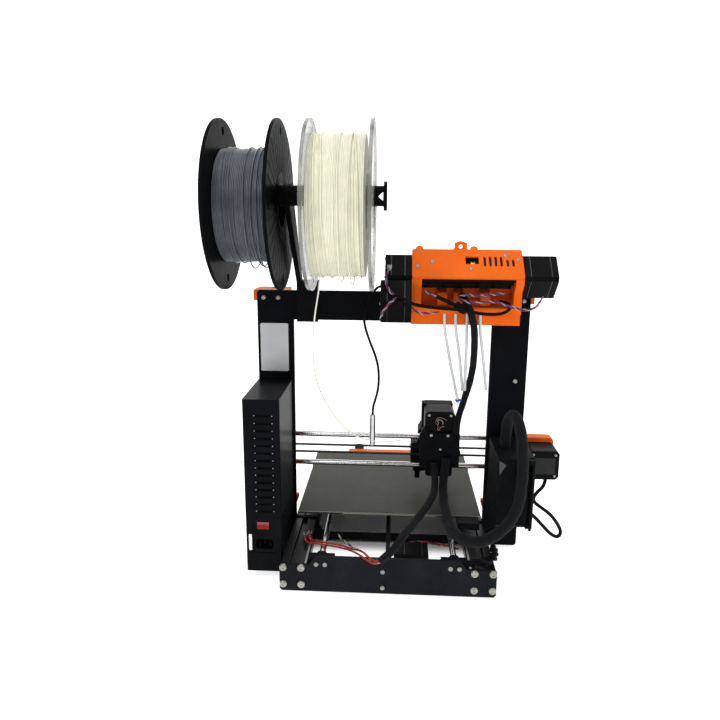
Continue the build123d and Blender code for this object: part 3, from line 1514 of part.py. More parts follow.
# ---- Cords: routes chosen point by point, as they hang ----
cords = {
    "extruder_cable_upper": (
        6,
        [
            (-80, -0.9, 136),
            (-78, 3.4, 119),
            (-76, 14, 104),
            (-75, 34, 94),
            (-75, 58, 89),
            (-77, 84, 86),
        ],
    ),
    "extruder_cable_lower": (
        7,
        [
            (-77, 84, 86),
            (-79, 110, 83),
            (-88, 132, 83),
            (-104, 147, 83.5),
            (-125, 146, 89.5),
            (-145, 133, 99),
            (-160, 119, 115.5),
            (-165, 112, 140),
            (-166, 109, 170),
            (-165, 101, 196),
            (-163, 88, 217),
            (-158, 72, 226),
            (-154, 57, 216),
            (-153, 50, 197),
            (-153, 50, case_top - case_wall),
        ],
    ),
    "mmu_cable": (
        4.6,
        [
            (-90, 24, 371),
            (-93, 36, 368),
            (-99, 44, 356),
            (-104.5, 43, 341),
            (-107.5, 37, 323),
            (-109.5, 28, 304),
            (-110.2, 16, 275),
            (-107.3, 9, 248),
            (-103.6, 2, 232),
            (-100.5, -3, 216),
            (-96, -6, 198),
            (-94, -8, 185),
            (-94, -8, 171),
        ],
    ),
    "loose_sleeve": (
        4.9,
        [
            (-63, -1, 128),
            (-64, 8, 113),
            (-64, 24, 103),
            (-60, 48, 98),
            (-50, 74, 95.5),
            (-38, 102, 92.5),
            (-26, 128, 90),
            (-14, 152, 85),
            (-3, 161, 73),
            (8, 157, 62),
        ],
    ),
    "x_motor_cable": (
        2.5,
        [
            (-222, -5, 107.35),
            (-222, -5, 97),
            (-210, -4, 86),
            (-205, -1, 75),
            (-217, 4, 67),
            (-230, 8, 59),
            (-241, 12, 45),
            (-245, 14, 34),
            (-240, 14.5, 27),
            (-230, 12, 31),
            (-218, 10, 44),
            (-204, 8, 58),
            (-193, 10, 66),
            (-181, 15, 66),
            (-171, 20, 67),
            (-164, 23.5, 71.5),
            (-164, 23.5, case_bottom),
        ],
    ),
    "probe_cable": (
        1.75,
        [
            (10.1, 9, 380.5),
            (16.1, 9, 380.5),
            (22, 8.8, 377),
            (27, 8.6, 370.5),
            (31.5, 8.8, 362.5),
            (35.4, 9.5, 353.5),
            (37.6, 10, 343.5),
            (37.8, 10, 332),
            (34.8, 9, 319),
            (28.8, 8, 302),
            (22.1, 7, 285.5),
            (17.7, 7, 269),
            (16.7, 7, 251),
            (18.1, 7, 234),
            (22.4, 7, 219),
            (probe_x, probe_y, 210),
            (probe_x, probe_y, probe_top),
        ],
    ),
    "filament_strand": (
        0.9,
        [
            (86, 106.6, 400.9),
            (88, 101, 386),
            (91, 96, 371),
            (94.7, 90, 352),
            (97.4, 84, 331),
            (99.4, 75, 297),
            (97.5, 67, 268),
            (91.2, 60, 245),
            (80.7, 54, 222),
            (68.2, 50, 203),
            (55.3, 47, 188.6),
            (44.1, 45, 180.6),
            (31.1, 43, 176),
            (11.4, 40, 172.3),
            (-5, 36, 172.6),
            (-19.8, 32, 173.7),
        ],
    ),
}

for cord_name, (cord_radius, route) in cords.items():
    with BuildPart() as cord:
        tube(route, cord_radius, cord_name)
    length = sum((Vector(*b) - Vector(*a)).length for a, b in zip(route, route[1:]))
    print(cord_name, "volume share", round(cord.part.volume / (pi * cord_radius**2 * length), 3))
    save(cord, cord_name)

ptfe_routes = [
    [
        (-68, tube_ledge_y, tube_ledge_z),
        (-68, tube_ledge_y, 330),
        (-74, 26, 305),
        (-80, 17, 274),
        (-88, 9, 243),
        (-93, 5, 220),
    ],
    [
        (-82.5, tube_ledge_y, tube_ledge_z),
        (-82.5, tube_ledge_y, 330),
        (-88.5, 26, 303),
        (-94, 16, 268),
        (-98, 8, 238),
    ],
    [
        (-97.5, tube_ledge_y, tube_ledge_z),
        (-97.5, tube_ledge_y, 330),
        (-98.8, 27, 303),
        (-99.7, 19, 270),
        (-100.5, 13, 240),
    ],
    [
        (-114.5, tube_ledge_y, tube_ledge_z),
        (-114.5, tube_ledge_y, 330),
        (-119.5, 26, 303),
        (-125, 18, 270),
        (-129.5, 12, 241),
    ],
]
with BuildPart() as ptfe_tubes:
    for route in ptfe_routes:
        tube(route, 2, "ptfe_tubes")
save(ptfe_tubes, "ptfe_tubes")

wire_routes = [
    [
        (8.7, 158.55, 61.9),
        (14.8, 156.4, 55.8),
        (24, 146, 54.5),
        (36, 129, 53.5),
        (48, 112, 49.8),
        (66, 103, 49),
        (84, 99, 49.6),
        (100, 95, 49),
        (111, 84, 44),
        (113, 68, 40.6),
    ],
    [
        (8.8, 155.85, 63),
        (14.8, 153.6, 56.9),
        (25, 139, 57),
        (34, 121, 55),
        (44, 110, 49.6),
        (62, 97.5, 49),
        (84, 93, 49.6),
        (98, 88, 48.5),
        (106, 76, 43.5),
        (108, 62, 40.6),
    ],
    [
        (6.9, 156.45, 60.8),
        (13, 154.3, 54.8),
        (20, 142, 52.9),
        (27, 125, 52),
        (36, 110, 48.5),
        (50, 95, 47),
        (61, 80, 46.5),
        (69, 62, 46),
    ],
]
with BuildPart() as loose_wires:
    for route in wire_routes:
        tube(route, 1.3, "loose_wires")
save(loose_wires, "loose_wires")
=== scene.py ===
import math
import random

import bmesh
import bpy
from mathutils import Matrix, Vector


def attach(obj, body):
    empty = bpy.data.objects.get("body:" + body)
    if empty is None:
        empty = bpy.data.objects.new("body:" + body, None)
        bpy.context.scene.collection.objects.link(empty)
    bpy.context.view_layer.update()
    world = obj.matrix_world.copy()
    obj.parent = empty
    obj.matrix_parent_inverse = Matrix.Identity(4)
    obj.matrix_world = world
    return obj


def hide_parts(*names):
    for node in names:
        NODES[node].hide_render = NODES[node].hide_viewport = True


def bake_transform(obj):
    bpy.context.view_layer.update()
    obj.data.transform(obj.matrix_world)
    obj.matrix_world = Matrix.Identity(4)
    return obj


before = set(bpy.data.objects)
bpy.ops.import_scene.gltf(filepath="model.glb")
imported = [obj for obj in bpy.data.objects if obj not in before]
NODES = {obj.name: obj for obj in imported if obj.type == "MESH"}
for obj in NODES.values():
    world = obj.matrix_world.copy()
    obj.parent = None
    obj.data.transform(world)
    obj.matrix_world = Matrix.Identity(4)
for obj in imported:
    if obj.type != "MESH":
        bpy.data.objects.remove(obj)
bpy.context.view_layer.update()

SCENE = bpy.context.scene
MM = 0.001
SHIFT = Vector((12.075, 60.0, 0.0))  # from the machine's own frame (mm) to the row frame
TAU = 2 * math.pi
ALONG_X = (1, 0, 0)
ALONG_Y = (0, 1, 0)


def P(x, y, z):
    """A point of the machine's frame, in millimetres, as a point of the row frame in metres."""
    return (Vector((x, y, z)) + SHIFT) * MM


def put(name, data):
    """Adds an object to the scene."""
    made = bpy.data.objects.new(name, data)
    SCENE.collection.objects.link(made)
    return made


# ---- camera, lights, floor
PHOTO_SIZE = 720
FOCAL_LENGTH = 656.98
SENSOR_WIDTH = 36
CAMERA_PLACE = (-3.31, 885.83, 473.29)
CAMERA_ANGLES = (3.02, 12.49, 0.42)  # yaw, pitch and roll in degrees
cam_data = bpy.data.cameras.new("camera")
cam_data.sensor_width = SENSOR_WIDTH
cam_data.lens = FOCAL_LENGTH / PHOTO_SIZE * SENSOR_WIDTH
cam_data.clip_end = 20
camera = put("camera", cam_data)
yaw, pitch, roll = (math.radians(a) for a in CAMERA_ANGLES)
forward = Vector((math.sin(yaw) * math.cos(pitch), -math.cos(yaw) * math.cos(pitch), -math.sin(pitch)))
right = forward.cross(Vector((0, 0, 1))).normalized()
up = right.cross(forward)
rolled_right = right * math.cos(roll) + up * math.sin(roll)
rolled_up = up * math.cos(roll) - right * math.sin(roll)
turn = Matrix((rolled_right, rolled_up, -forward)).transposed().to_4x4()
camera.matrix_world = Matrix.Translation(P(*CAMERA_PLACE)) @ turn
SCENE.camera = camera

world = bpy.data.worlds.new("studio")
SCENE.world = world
world.use_nodes = True
sky = world.node_tree.nodes["Background"].inputs
sky["Color"].default_value = (1.0, 1.0, 1.0, 1)
sky["Strength"].default_value = 0.2
SCENE.view_settings.view_transform = "Standard"


def area_light(name, place, target, size, power):
    data = bpy.data.lights.new(name, "AREA")
    data.shape = "RECTANGLE"
    data.size, data.size_y = size
    data.energy = power
    lamp = put(name, data)
    lamp.location = Vector(place)
    lamp.rotation_euler = (Vector(target) - Vector(place)).to_track_quat("-Z", "Y").to_euler()


area_light("key_softbox", (0.7, 1.5, 1.7), (0, 0, 0.25), (1.0, 0.9), 16)
area_light("top_softbox", (-0.1, 0.2, 1.9), (0, 0, 0.2), (1.6, 1.2), 14)
area_light("fill_softbox", (-1.6, 1.1, 1.0), (0, 0, 0.25), (0.9, 0.9), 6.5)


def sheet_of_paper(name, corners):
    mesh = bpy.data.meshes.new(name)
    mesh.from_pydata(corners, [], [(0, 1, 2, 3)])
    return put(name, mesh)


floor = sheet_of_paper("floor", [(-6, -6, 0), (6, -6, 0), (6, 6, 0), (-6, 6, 0)])
backdrop = sheet_of_paper("backdrop", [(-6, -3.2, -0.5), (6, -3.2, -0.5), (6, -3.2, 5), (-6, -3.2, 5)])


# ---- materials
class Graph:
    """Small helper that wires a Principled material."""

    def __init__(self, name):
        self.material = bpy.data.materials.new(name)
        self.material.use_nodes = True
        self.tree = self.material.node_tree
        self.shader = self.tree.nodes["Principled BSDF"]
        self.coords = self.tree.nodes.new("ShaderNodeTexCoord").outputs
        self.place = self.coords["Object"]

    def node(self, kind, inputs=None, **settings):
        made = self.tree.nodes.new("ShaderNode" + kind)
        for key, value in settings.items():
            setattr(made, key, value)
        for key, value in (inputs or {}).items():
            if isinstance(value, bpy.types.NodeSocket):
                self.tree.links.new(value, made.inputs[key])
            else:
                made.inputs[key].default_value = value
        return made

    def link(self, source, target):
        self.tree.links.new(source, target)

    def math(self, operation, a, b=0.0, c=0.0):
        return self.node("Math", {0: a, 1: b, 2: c}, operation=operation).outputs[0]

    def mapped(self, scale):
        return self.node("Mapping", {"Vector": self.place, "Scale": scale}).outputs[0]

    def noise(self, vector, scale, detail=4.0, rough=0.55):
        made = self.node("TexNoise", {"Vector": vector, "Scale": scale, "Detail": detail, "Roughness": rough})
        return made.outputs["Fac"]

    def ramp(self, factor, low, high, start=0.3, end=0.7):
        made = self.node("ValToRGB", {"Fac": factor})
        made.color_ramp.elements[0].position = start
        made.color_ramp.elements[1].position = end
        made.color_ramp.elements[0].color = (*low, 1)
        made.color_ramp.elements[1].color = (*high, 1)
        return made.outputs["Color"]

    def spread(self, factor, low, high):
        return self.node("MapRange", {"Value": factor, "To Min": low, "To Max": high}).outputs[0]

    def bump(self, height, strength, distance, under=None):
        inputs = {"Height": height, "Strength": strength, "Distance": distance}
        if under is not None:
            inputs["Normal"] = under
        return self.node("Bump", inputs).outputs["Normal"]


LAYER_WAVES = 1 / 0.00035 / 20 * 6.2832 / 2  # wave scale of printed layers 0.35 mm high
DUST = (0.45, 0.44, 0.42, 1)


def tint(color, factor):
    return tuple(min(1.0, c * factor) for c in color)


def surface(
    name, color, rough, metal, vary, scale, rough_vary=0.08, grain=0.0, grain_scale=2500.0,
    layers=0.0, stretch=None, specular=0.5, coat=0.0, dust=0.0,
):
    """Moulded, printed, painted or turned surface with colour variation, grain and wear from noise."""
    g = Graph(name)
    shader = g.shader.inputs
    vector = g.mapped(stretch) if stretch else g.place
    cloud = g.noise(vector, scale)
    base = g.ramp(cloud, tint(color, 1 - vary), tint(color, 1 + vary))
    if dust:
        patch = g.noise(g.place, scale * 5, 8.0, 0.75)
        mask = g.spread(patch, -0.35, 1.0)
        mask = g.math("MULTIPLY", g.math("MAXIMUM", mask, 0.0), dust)
        mixed = g.node("Mix", {0: mask, 6: base, 7: DUST}, data_type="RGBA")
        base = mixed.outputs[2]
    g.link(base, shader["Base Color"])
    fine = g.noise(vector, scale * 9, 6.0, 0.65)
    g.link(g.spread(fine, rough - rough_vary, rough + rough_vary), shader["Roughness"])
    shader["Metallic"].default_value = metal
    shader["Specular IOR Level"].default_value = specular
    shader["Coat Weight"].default_value = coat
    shader["Coat Roughness"].default_value = 0.12
    normal = None
    if layers:
        wave = g.node(
            "TexWave",
            {"Vector": g.place, "Scale": LAYER_WAVES, "Distortion": 0.6, "Detail": 1.0, "Detail Scale": 0.4},
            wave_type="BANDS", bands_direction="Z", wave_profile="SIN",
        )
        normal = g.bump(wave.outputs["Fac"], layers, 0.00012)
    if grain:
        normal = g.bump(g.noise(vector, grain_scale, 3.0, 0.6), grain, 0.0002, normal)
    if normal is not None:
        g.link(normal, shader["Normal"])
    return g.material


def braid(name, color, turns, length):
    """Woven sleeve from UVs: u runs round the cord and v along it in metres."""
    g = Graph(name)
    uv = g.node("SeparateXYZ", {0: g.coords["UV"]})
    around = g.math("MULTIPLY", uv.outputs[0], turns * TAU)
    along = g.math("MULTIPLY", uv.outputs[1], TAU / length)
    one = g.math("SINE", g.math("ADD", around, along))
    two = g.math("SINE", g.math("SUBTRACT", around, along))
    weave = g.math("MULTIPLY", one, two)
    fuzz = g.noise(g.place, 900, 5.0, 0.7)
    height = g.math("ADD", weave, g.math("MULTIPLY", fuzz, 0.9))
    cloud = g.noise(g.place, 45, 6.0, 0.7)
    mixed = g.math("ADD", g.math("MULTIPLY", weave, 0.22), cloud)
    g.link(g.ramp(mixed, tint(color, 0.45), tint(color, 1.9), 0.25, 0.8), g.shader.inputs["Base Color"])
    g.shader.inputs["Roughness"].default_value = 0.82
    g.shader.inputs["Sheen Weight"].default_value = 0.02
    g.shader.inputs["Specular IOR Level"].default_value = 0.15
    g.link(g.bump(height, 0.75, 0.0007), g.shader.inputs["Normal"])
    return g.material


def clear_plastic(name, color, rough, alpha):
    """Thin clear moulding: mostly see-through, with glossy scratched faces."""
    g = Graph(name)
    cloud = g.noise(g.place, 30, 6.0, 0.7)
    g.link(g.ramp(cloud, tint(color, 0.85), tint(color, 1.1)), g.shader.inputs["Base Color"])
    g.link(g.spread(g.noise(g.place, 400, 5.0), rough * 0.6, rough * 1.5), g.shader.inputs["Roughness"])
    g.link(g.spread(g.noise(g.place, 12, 3.0), alpha - 0.08, alpha + 0.08), g.shader.inputs["Alpha"])
    g.shader.inputs["Specular IOR Level"].default_value = 0.8
    g.link(g.bump(cloud, 0.12, 0.0006), g.shader.inputs["Normal"])
    return g.material


ORANGE = (0.81, 0.13, 0.007)
# Each row: name, colour, roughness, metal, colour variation and its scale, roughness variation, grain and its scale.
M = {
    "frame": surface("frame_coating", (0.0035, 0.004, 0.0055), 0.42, 0, 0.3, 18, 0.08, 0.10, 3200, specular=0.02,
    dust=0.004),
    "plate": surface("slate_coating", (0.007, 0.0085, 0.0115), 0.52, 0, 0.3, 22, 0.1, 0.3, 2000, specular=0.05,
    dust=0.02),
    "profile": surface("profile_anodised", (0.006, 0.007, 0.0078), 0.36, 0.4, 0.25, 60, 0.08, 0.06, 3000,
    stretch=(1, 0.05, 1), specular=0.3),
    "psu": surface("housing_paint", (0.0035, 0.004, 0.0055), 0.36, 0, 0.25, 16, 0.07, 0.08, 3000, specular=0.03,
    dust=0.004),
    "print": surface("black_print", (0.0045, 0.005, 0.006), 0.5, 0, 0.3, 30, 0.08, 0.05, 2500, layers=0.35,
    specular=0.03),
    "orange": surface("orange_print", ORANGE, 0.44, 0, 0.07, 30, 0.07, 0.05, 2200, layers=0.4, specular=0.06),
    "motor": surface("motor_paint", (0.0035, 0.0038, 0.004), 0.45, 0, 0.3, 40, 0.08, 0.10, 2600, specular=0.04,
    dust=0.004),
    "rod": surface("ground_steel", (0.62, 0.63, 0.64), 0.2, 1.0, 0.06, 40, 0.02, 0.006, 2500, stretch=(0.2, 1, 1)),
    "rod_z": surface("ground_steel_upright", (0.62, 0.63, 0.64), 0.2, 1.0, 0.06, 40, 0.02, 0.006, 2500,
    stretch=(1, 1, 0.2)),
    "zinc": surface("screw_zinc", (0.36, 0.345, 0.31), 0.36, 0.85, 0.18, 140, 0.12, 0.08, 3000),
    "rubber": surface("rubber", (0.012, 0.012, 0.012), 0.75, 0, 0.2, 60, 0.08, 0.2, 1800, specular=0.3),
    "belt": surface("belt_rubber", (0.01, 0.01, 0.01), 0.7, 0, 0.2, 80, 0.08, 0.1, 2400, specular=0.3),
    "aluminium": surface("pulley_aluminium", (0.55, 0.55, 0.56), 0.3, 1.0, 0.1, 90, 0.08, 0.05, 2600),
    "brass": surface("nozzle_brass", (0.62, 0.42, 0.14), 0.3, 1.0, 0.15, 120, 0.1, 0.05, 2600),
    "pcb": surface("board_green", (0.01, 0.06, 0.025), 0.4, 0, 0.3, 200, 0.1, 0.1, 1200),
    "bed": surface("bed_black", (0.012, 0.013, 0.014), 0.4, 0, 0.25, 30, 0.08, 0.08, 2400),
    "red": surface("switch_red", (0.24, 0.009, 0.009), 0.25, 0, 0.12, 60, 0.06, coat=0.4),
    "label": surface("bare_label", (0.48, 0.49, 0.50), 0.42, 0.35, 0.05, 30, 0.08, 0.02, 1600),
    "dark_label": surface("bare_dark_label", (0.022, 0.024, 0.023), 0.42, 0, 0.15, 60, 0.08, 0.03, 1800, specular=0.1),
    "sticker": surface("white_sticker", (0.88, 0.88, 0.87), 0.45, 0, 0.05, 60, 0.06),
    "fan": surface("fan_moulding", (0.005, 0.005, 0.0055), 0.4, 0, 0.25, 60, 0.08, 0.05, 2600, specular=0.05),
    "spool_black": surface("spool_gloss_black", (0.003, 0.0034, 0.004), 0.34, 0, 0.3, 20, 0.1, 0.03, 1200,
    specular=0.008, dust=0.005),
    "spool_clear": clear_plastic("spool_clear", (0.33, 0.33, 0.31), 0.2, 0.5),
    "grey_filament": surface("filament_grey", (0.08, 0.097, 0.12), 0.34, 0.1, 0.18, 120, 0.08, specular=0.6),
    "white_filament": surface("filament_natural", (0.80, 0.79, 0.63), 0.4, 0, 0.05, 90, 0.08, specular=0.4),
    "ptfe": clear_plastic("ptfe", (0.66, 0.68, 0.70), 0.3, 0.9),
    "cable": surface("cable_jacket", (0.004, 0.0042, 0.005), 0.5, 0, 0.2, 90, 0.08, 0.05, 2000, specular=0.04),
    "wire_black": surface("wire_black", (0.005, 0.005, 0.006), 0.42, 0, 0.2, 160, 0.08, specular=0.3),
    "tinned": surface("terminal_tin", (0.6, 0.6, 0.58), 0.32, 0.95, 0.1, 150, 0.1),
    "tie_blue": surface("tie_blue", (0.02, 0.05, 0.35), 0.4, 0, 0.1, 150, 0.08),
    "drum": surface("drum_black", (0.004, 0.0043, 0.005), 0.42, 0, 0.3, 90, 0.08, 0.08, 1800, specular=0.06),
    "seam": surface("seam_metal", (0.035, 0.035, 0.035), 0.38, 0.5, 0.4, 60, 0.1),
    "edge": surface("edge_light", (0.34, 0.36, 0.30), 0.45, 0.1, 0.15, 60, 0.08),
    # painted highlight for the louvre ends
    "louvre": surface("louvre_painted_highlight", (0.30, 0.29, 0.27), 0.4, 0.7, 0.2, 120, 0.1),
    # painted sheen for the case's corner facet
    "facet": surface("facet_sheen", (0.035, 0.045, 0.052), 0.5, 0, 0.15, 60, 0.08, 0.05, 1800),
    "rim": clear_plastic("clear_rim", (0.15, 0.15, 0.14), 0.2, 0.72),
    "knob": surface("knob_black", (0.01, 0.01, 0.01), 0.4, 0, 0.2, 90, 0.08, 0.1, 1600),
    # painted shade: near-black for the unlit inside of the changer
    "dark": surface("painted_shade_inside", (0.003, 0.003, 0.003), 0.8, 0, 0.2, 60, 0.05),
}
for tone, color, vary in (
    ("wire_red", (0.36, 0.012, 0.010), 0.15), ("wire_blue", (0.02, 0.045, 0.20), 0.12),
    ("wire_white", (0.42, 0.42, 0.42), 0.1),
    ("wire_yellow", (0.62, 0.5, 0.06), 0.1), ("wire_purple", (0.12, 0.02, 0.22), 0.12),
    ("wire_pink", (0.42, 0.16, 0.13), 0.25),
):
    M[tone] = surface(tone, color, 0.4, 0.0, vary, 160)
SLEEVE = (0.0045, 0.0052, 0.007)
M["sleeve"] = braid("cable_sleeve", SLEEVE, 12, 0.0030)
M["sleeve_small"] = braid("thin_sleeve", SLEEVE, 9, 0.0026)


def sheet_material():
    """Textured spring-steel print sheet: fine powder texture, faint print marks and a grid of scratches."""
    g = Graph("powder_sheet")
    place = g.place
    cloud = g.noise(place, 9, 5.0, 0.6)
    base = g.ramp(cloud, (0.042, 0.045, 0.036), (0.062, 0.066, 0.053), 0.25, 0.75)
    cells = g.node("TexVoronoi", {"Vector": g.mapped((1, 1, 0)), "Scale": 26}, feature="DISTANCE_TO_EDGE")
    marks = cells.outputs["Distance"]
    faint = g.math("MULTIPLY", g.spread(g.noise(place, 14, 2.0), -0.6, 1.0), 0.5)
    faint = g.math("MAXIMUM", faint, 0.0)
    lines = g.math("MULTIPLY", faint, g.math("LESS_THAN", marks, 0.03))
    mixed = g.node("Mix", {0: lines, 6: base, 7: (0.035, 0.038, 0.03, 1)}, data_type="RGBA")
    g.link(mixed.outputs[2], g.shader.inputs["Base Color"])
    g.link(g.spread(g.noise(place, 160, 5.0), 0.3, 0.5), g.shader.inputs["Roughness"])
    g.shader.inputs["Metallic"].default_value = 0.0
    g.shader.inputs["Specular IOR Level"].default_value = 0.06
    g.link(g.bump(g.noise(place, 2600, 2.0), 0.25, 0.0002), g.shader.inputs["Normal"])
    return g.material


def screen_material():
    """Blue display glass."""
    g = Graph("display_glass")
    cloud = g.noise(g.place, 14, 2.0)
    g.link(g.ramp(cloud, (0.012, 0.06, 0.22), (0.02, 0.09, 0.30)), g.shader.inputs["Base Color"])
    g.link(g.spread(g.noise(g.place, 220, 4.0), 0.08, 0.2), g.shader.inputs["Roughness"])
    g.shader.inputs["Coat Weight"].default_value = 0.5
    return g.material


M["sheet"] = sheet_material()
M["screen"] = screen_material()

for part_slot, finishes in (
    ("screw_steel", "zinc tinned louvre"), ("black_print", "print dark facet"), ("orange_print", "orange"),
    ("motor_black", "dark_label"), ("pulley_metal", "label seam"),
    ("white_plastic", "sticker wire_white white_filament wire_yellow"),
    ("black_housing", "fan drum"), ("red_plastic", "wire_red"), ("cable_sleeve", "wire_blue cable tie_blue"),
    ("brass", "brass"),
    ("grey_plastic", "grey_filament"), ("spool_black", "spool_black"), ("spool_clear", "rim"), ("spring_steel", "edge"),
):
    dict.fromkeys(finishes.split(), part_slot)

ground = Graph("floor_paper")
cloud = ground.noise(ground.place, 2.0, 4.0)
ground.link(ground.ramp(cloud, (0.86, 0.86, 0.86), (0.90, 0.90, 0.90)), ground.shader.inputs["Base Color"])
ground.link(ground.spread(ground.noise(ground.place, 60), 0.75, 0.9),
                 ground.shader.inputs["Roughness"])
ground.shader.inputs["Emission Color"].default_value = (1, 1, 1, 1)
place = ground.node("SeparateXYZ", {0: ground.place})
# The paper glows, except in a painted shadow under the machine, where the glow fades to nothing.
UNDER_X, UNDER_Y = 0.012, -0.045
UNDER_HALF_X, UNDER_HALF_Y = 0.135, 0.125
GLOW = 0.78
off_x = ground.math("ABSOLUTE", ground.math("SUBTRACT", place.outputs[0], UNDER_X))
off_y = ground.math("ABSOLUTE", ground.math("SUBTRACT", place.outputs[1], UNDER_Y))
out = ground.math("MAXIMUM", ground.math("DIVIDE", off_x, UNDER_HALF_X), ground.math("DIVIDE", off_y, UNDER_HALF_Y))
spread = {"Value": out, "From Min": 0.85, "From Max": 1.1, "To Min": 0.0, "To Max": GLOW}
beside = ground.node("MapRange", spread, interpolation_type="SMOOTHSTEP").outputs[0]
ground.link(beside, ground.shader.inputs["Emission Strength"])
floor.data.materials.append(ground.material)
paper = Graph("backdrop_paper")
paper.link(paper.ramp(paper.noise(paper.place, 1.5, 3.0), (0.80, 0.80, 0.80), (0.84, 0.84, 0.84)),
           paper.shader.inputs["Base Color"])
paper.shader.inputs["Emission Color"].default_value = (1, 1, 1, 1)
paper.shader.inputs["Emission Strength"].default_value = 0.9
backdrop.data.materials.append(paper.material)


# ---- mesh tools, in machine millimetres
def merge(*parts):
    verts, faces = [], []
    for part in parts:
        base = len(verts)
        verts += part[0]
        faces += [tuple(i + base for i in f) for f in part[1]]
    return verts, faces


def block(lo, hi):
    (x0, y0, z0), (x1, y1, z1) = lo, hi
    verts = [(x0, y0, z0), (x1, y0, z0), (x1, y1, z0), (x0, y1, z0), (x0, y0, z1), (x1, y0, z1), (x1, y1, z1),
        (x0, y1, z1)]
    return verts, [(3, 2, 1, 0), (4, 5, 6, 7), (0, 1, 5, 4), (1, 2, 6, 5), (2, 3, 7, 6), (3, 0, 4, 7)]


def across(axis, tilt=0.0):
    """The axis and two directions across it, turned by tilt."""
    axis = Vector(axis).normalized()
    side = axis.cross(Vector((0, 0, 1))) if abs(axis.z) < 0.9 else axis.cross(Vector((0, 1, 0)))
    side.normalize()
    other = axis.cross(side)
    if tilt:
        c, s = math.cos(tilt), math.sin(tilt)
        side, other = side * c + other * s, other * c - side * s
    return axis, side, other


def spin(side, other, angle, radius):
    return (side * math.cos(angle) + other * math.sin(angle)) * radius


def band(a, b, count):
    """Faces between two rows of vertex numbers; a row of one closes an end."""
    faces = []
    for k in range(count):
        j = (k + 1) % count
        if len(a) == 1:
            faces.append((a[0], b[j], b[k]))
        elif len(b) == 1:
            faces.append((a[k], a[j], b[0]))
        else:
            faces.append((a[k], a[j], b[j], b[k]))
    return faces


def rows_of(rings, count):
    return [range(i * count, (i + 1) * count) for i in range(rings)]


def lathe(profile, origin, axis, count=32):
    """Turned body from (distance along the axis, radius or a function of the angle); radius 0 closes an end."""
    axis, side, other = across(axis)
    origin = Vector(origin)
    verts, rings, faces = [], [], []
    for along, radius in profile:
        if not callable(radius) and radius < 1e-6:
            rings.append([len(verts)])
            verts.append(tuple(origin + axis * along))
            continue
        rings.append(range(len(verts), len(verts) + count))
        for k in range(count):
            a = TAU * k / count
            reach = radius(a) if callable(radius) else radius
            verts.append(tuple(origin + axis * along + spin(side, other, a, reach)))
    for a, b in zip(rings, rings[1:]):
        faces += band(a, b, count)
    return verts, faces


def rod(a, b, radius, count=20, tip=None):
    a, b = Vector(a), Vector(b)
    length = (b - a).length
    return lathe([(0, 0), (0, radius), (length, radius if tip is None else tip), (length, 0)], a, b - a, count)


def prism(outline, plane, low, high):
    """Closed outline pushed from low to high; plane names the two axes of the outline, such as "xz"."""
    third = "xyz".replace(plane[0], "").replace(plane[1], "")

    def place(u, v, w):
        point = {plane[0]: u, plane[1]: v, third: w}
        return (point["x"], point["y"], point["z"])

    n = len(outline)
    verts = [place(u, v, low) for u, v in outline] + [place(u, v, high) for u, v in outline]
    faces = [tuple(range(n)), tuple(range(2 * n - 1, n - 1, -1))]
    faces += [(k, k + n, (k + 1) % n + n, (k + 1) % n) for k in range(n)]
    return verts, faces


def rounded(cx, cy, w, h, r, steps=4):
    outline = []
    for sx, sy, a0 in ((1, 1, 0), (-1, 1, 90), (-1, -1, 180), (1, -1, 270)):
        for k in range(steps + 1):
            a = math.radians(a0 + 90 * k / steps)
            outline.append((cx + sx * (w / 2 - r) + r * math.cos(a), cy + sy * (h / 2 - r) + r * math.sin(a)))
    return outline


def recalculate_normals(mesh):
    work = bmesh.new()
    work.from_mesh(mesh)
    bmesh.ops.recalc_face_normals(work, faces=work.faces)
    work.to_mesh(mesh)
    work.free()


def soften(obj, width, angle, harden=False):
    edge = obj.modifiers.new("edges", "BEVEL")
    edge.width = width * MM
    edge.segments = 2
    edge.limit_method = "ANGLE"
    edge.angle_limit = math.radians(angle)
    edge.harden_normals = harden


def smooth(mesh):
    mesh.polygons.foreach_set("use_smooth", [True] * len(mesh.polygons))


def detail(name, parts, material, body="base", bevel=0.0, angle=35):
    """One object from mesh parts in machine millimetres, riding on a body."""
    verts, faces = merge(*parts)
    mesh = bpy.data.meshes.new(name)
    mesh.from_pydata([P(*v) for v in verts], [], faces)
    mesh.validate()
    mesh.update()
    obj = put(name, mesh)
    recalculate_normals(mesh)
    smooth(mesh)
    mesh.set_sharp_from_angle(angle=math.radians(angle))
    mesh.materials.append(M[material])
    if bevel:
        soften(obj, bevel, 40, True)
    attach(obj, body)
    return obj


def nurbs(name, route, steps):
    """Smooth curve object whose control points are the route's."""
    curve = bpy.data.curves.new(name, "CURVE")
    curve.dimensions = "3D"
    spline = curve.splines.new("NURBS")
    spline.points.add(len(route) - 1)
    for point, place in zip(spline.points, route):
        point.co = (*P(*place), 1)
    spline.order_u = 3
    spline.use_endpoint_u = True
    spline.resolution_u = steps
    return curve


def along_nurbs(name, route, steps=10):
    """Points of the smooth line that the route's control points give, in the row frame."""
    holder = put(name + "_line", nurbs(name + "_line", route, steps))
    bpy.context.view_layer.update()
    mesh = bpy.data.meshes.new_from_object(holder)
    line = [v.co.copy() for v in mesh.vertices]
    bpy.data.meshes.remove(mesh)
    bpy.data.objects.remove(holder)
    return line


def frames(line):
    """A turning-free frame at each point of a line."""
    made = []
    tangents = [((line[min(k + 1, len(line) - 1)]) - line[max(k - 1, 0)]).normalized() for k in range(len(line))]
    _, side, _ = across(tangents[0])
    for tangent in tangents:
        side = (side - tangent * side.dot(tangent)).normalized()
        made.append((tangent, side, tangent.cross(side)))
    return made


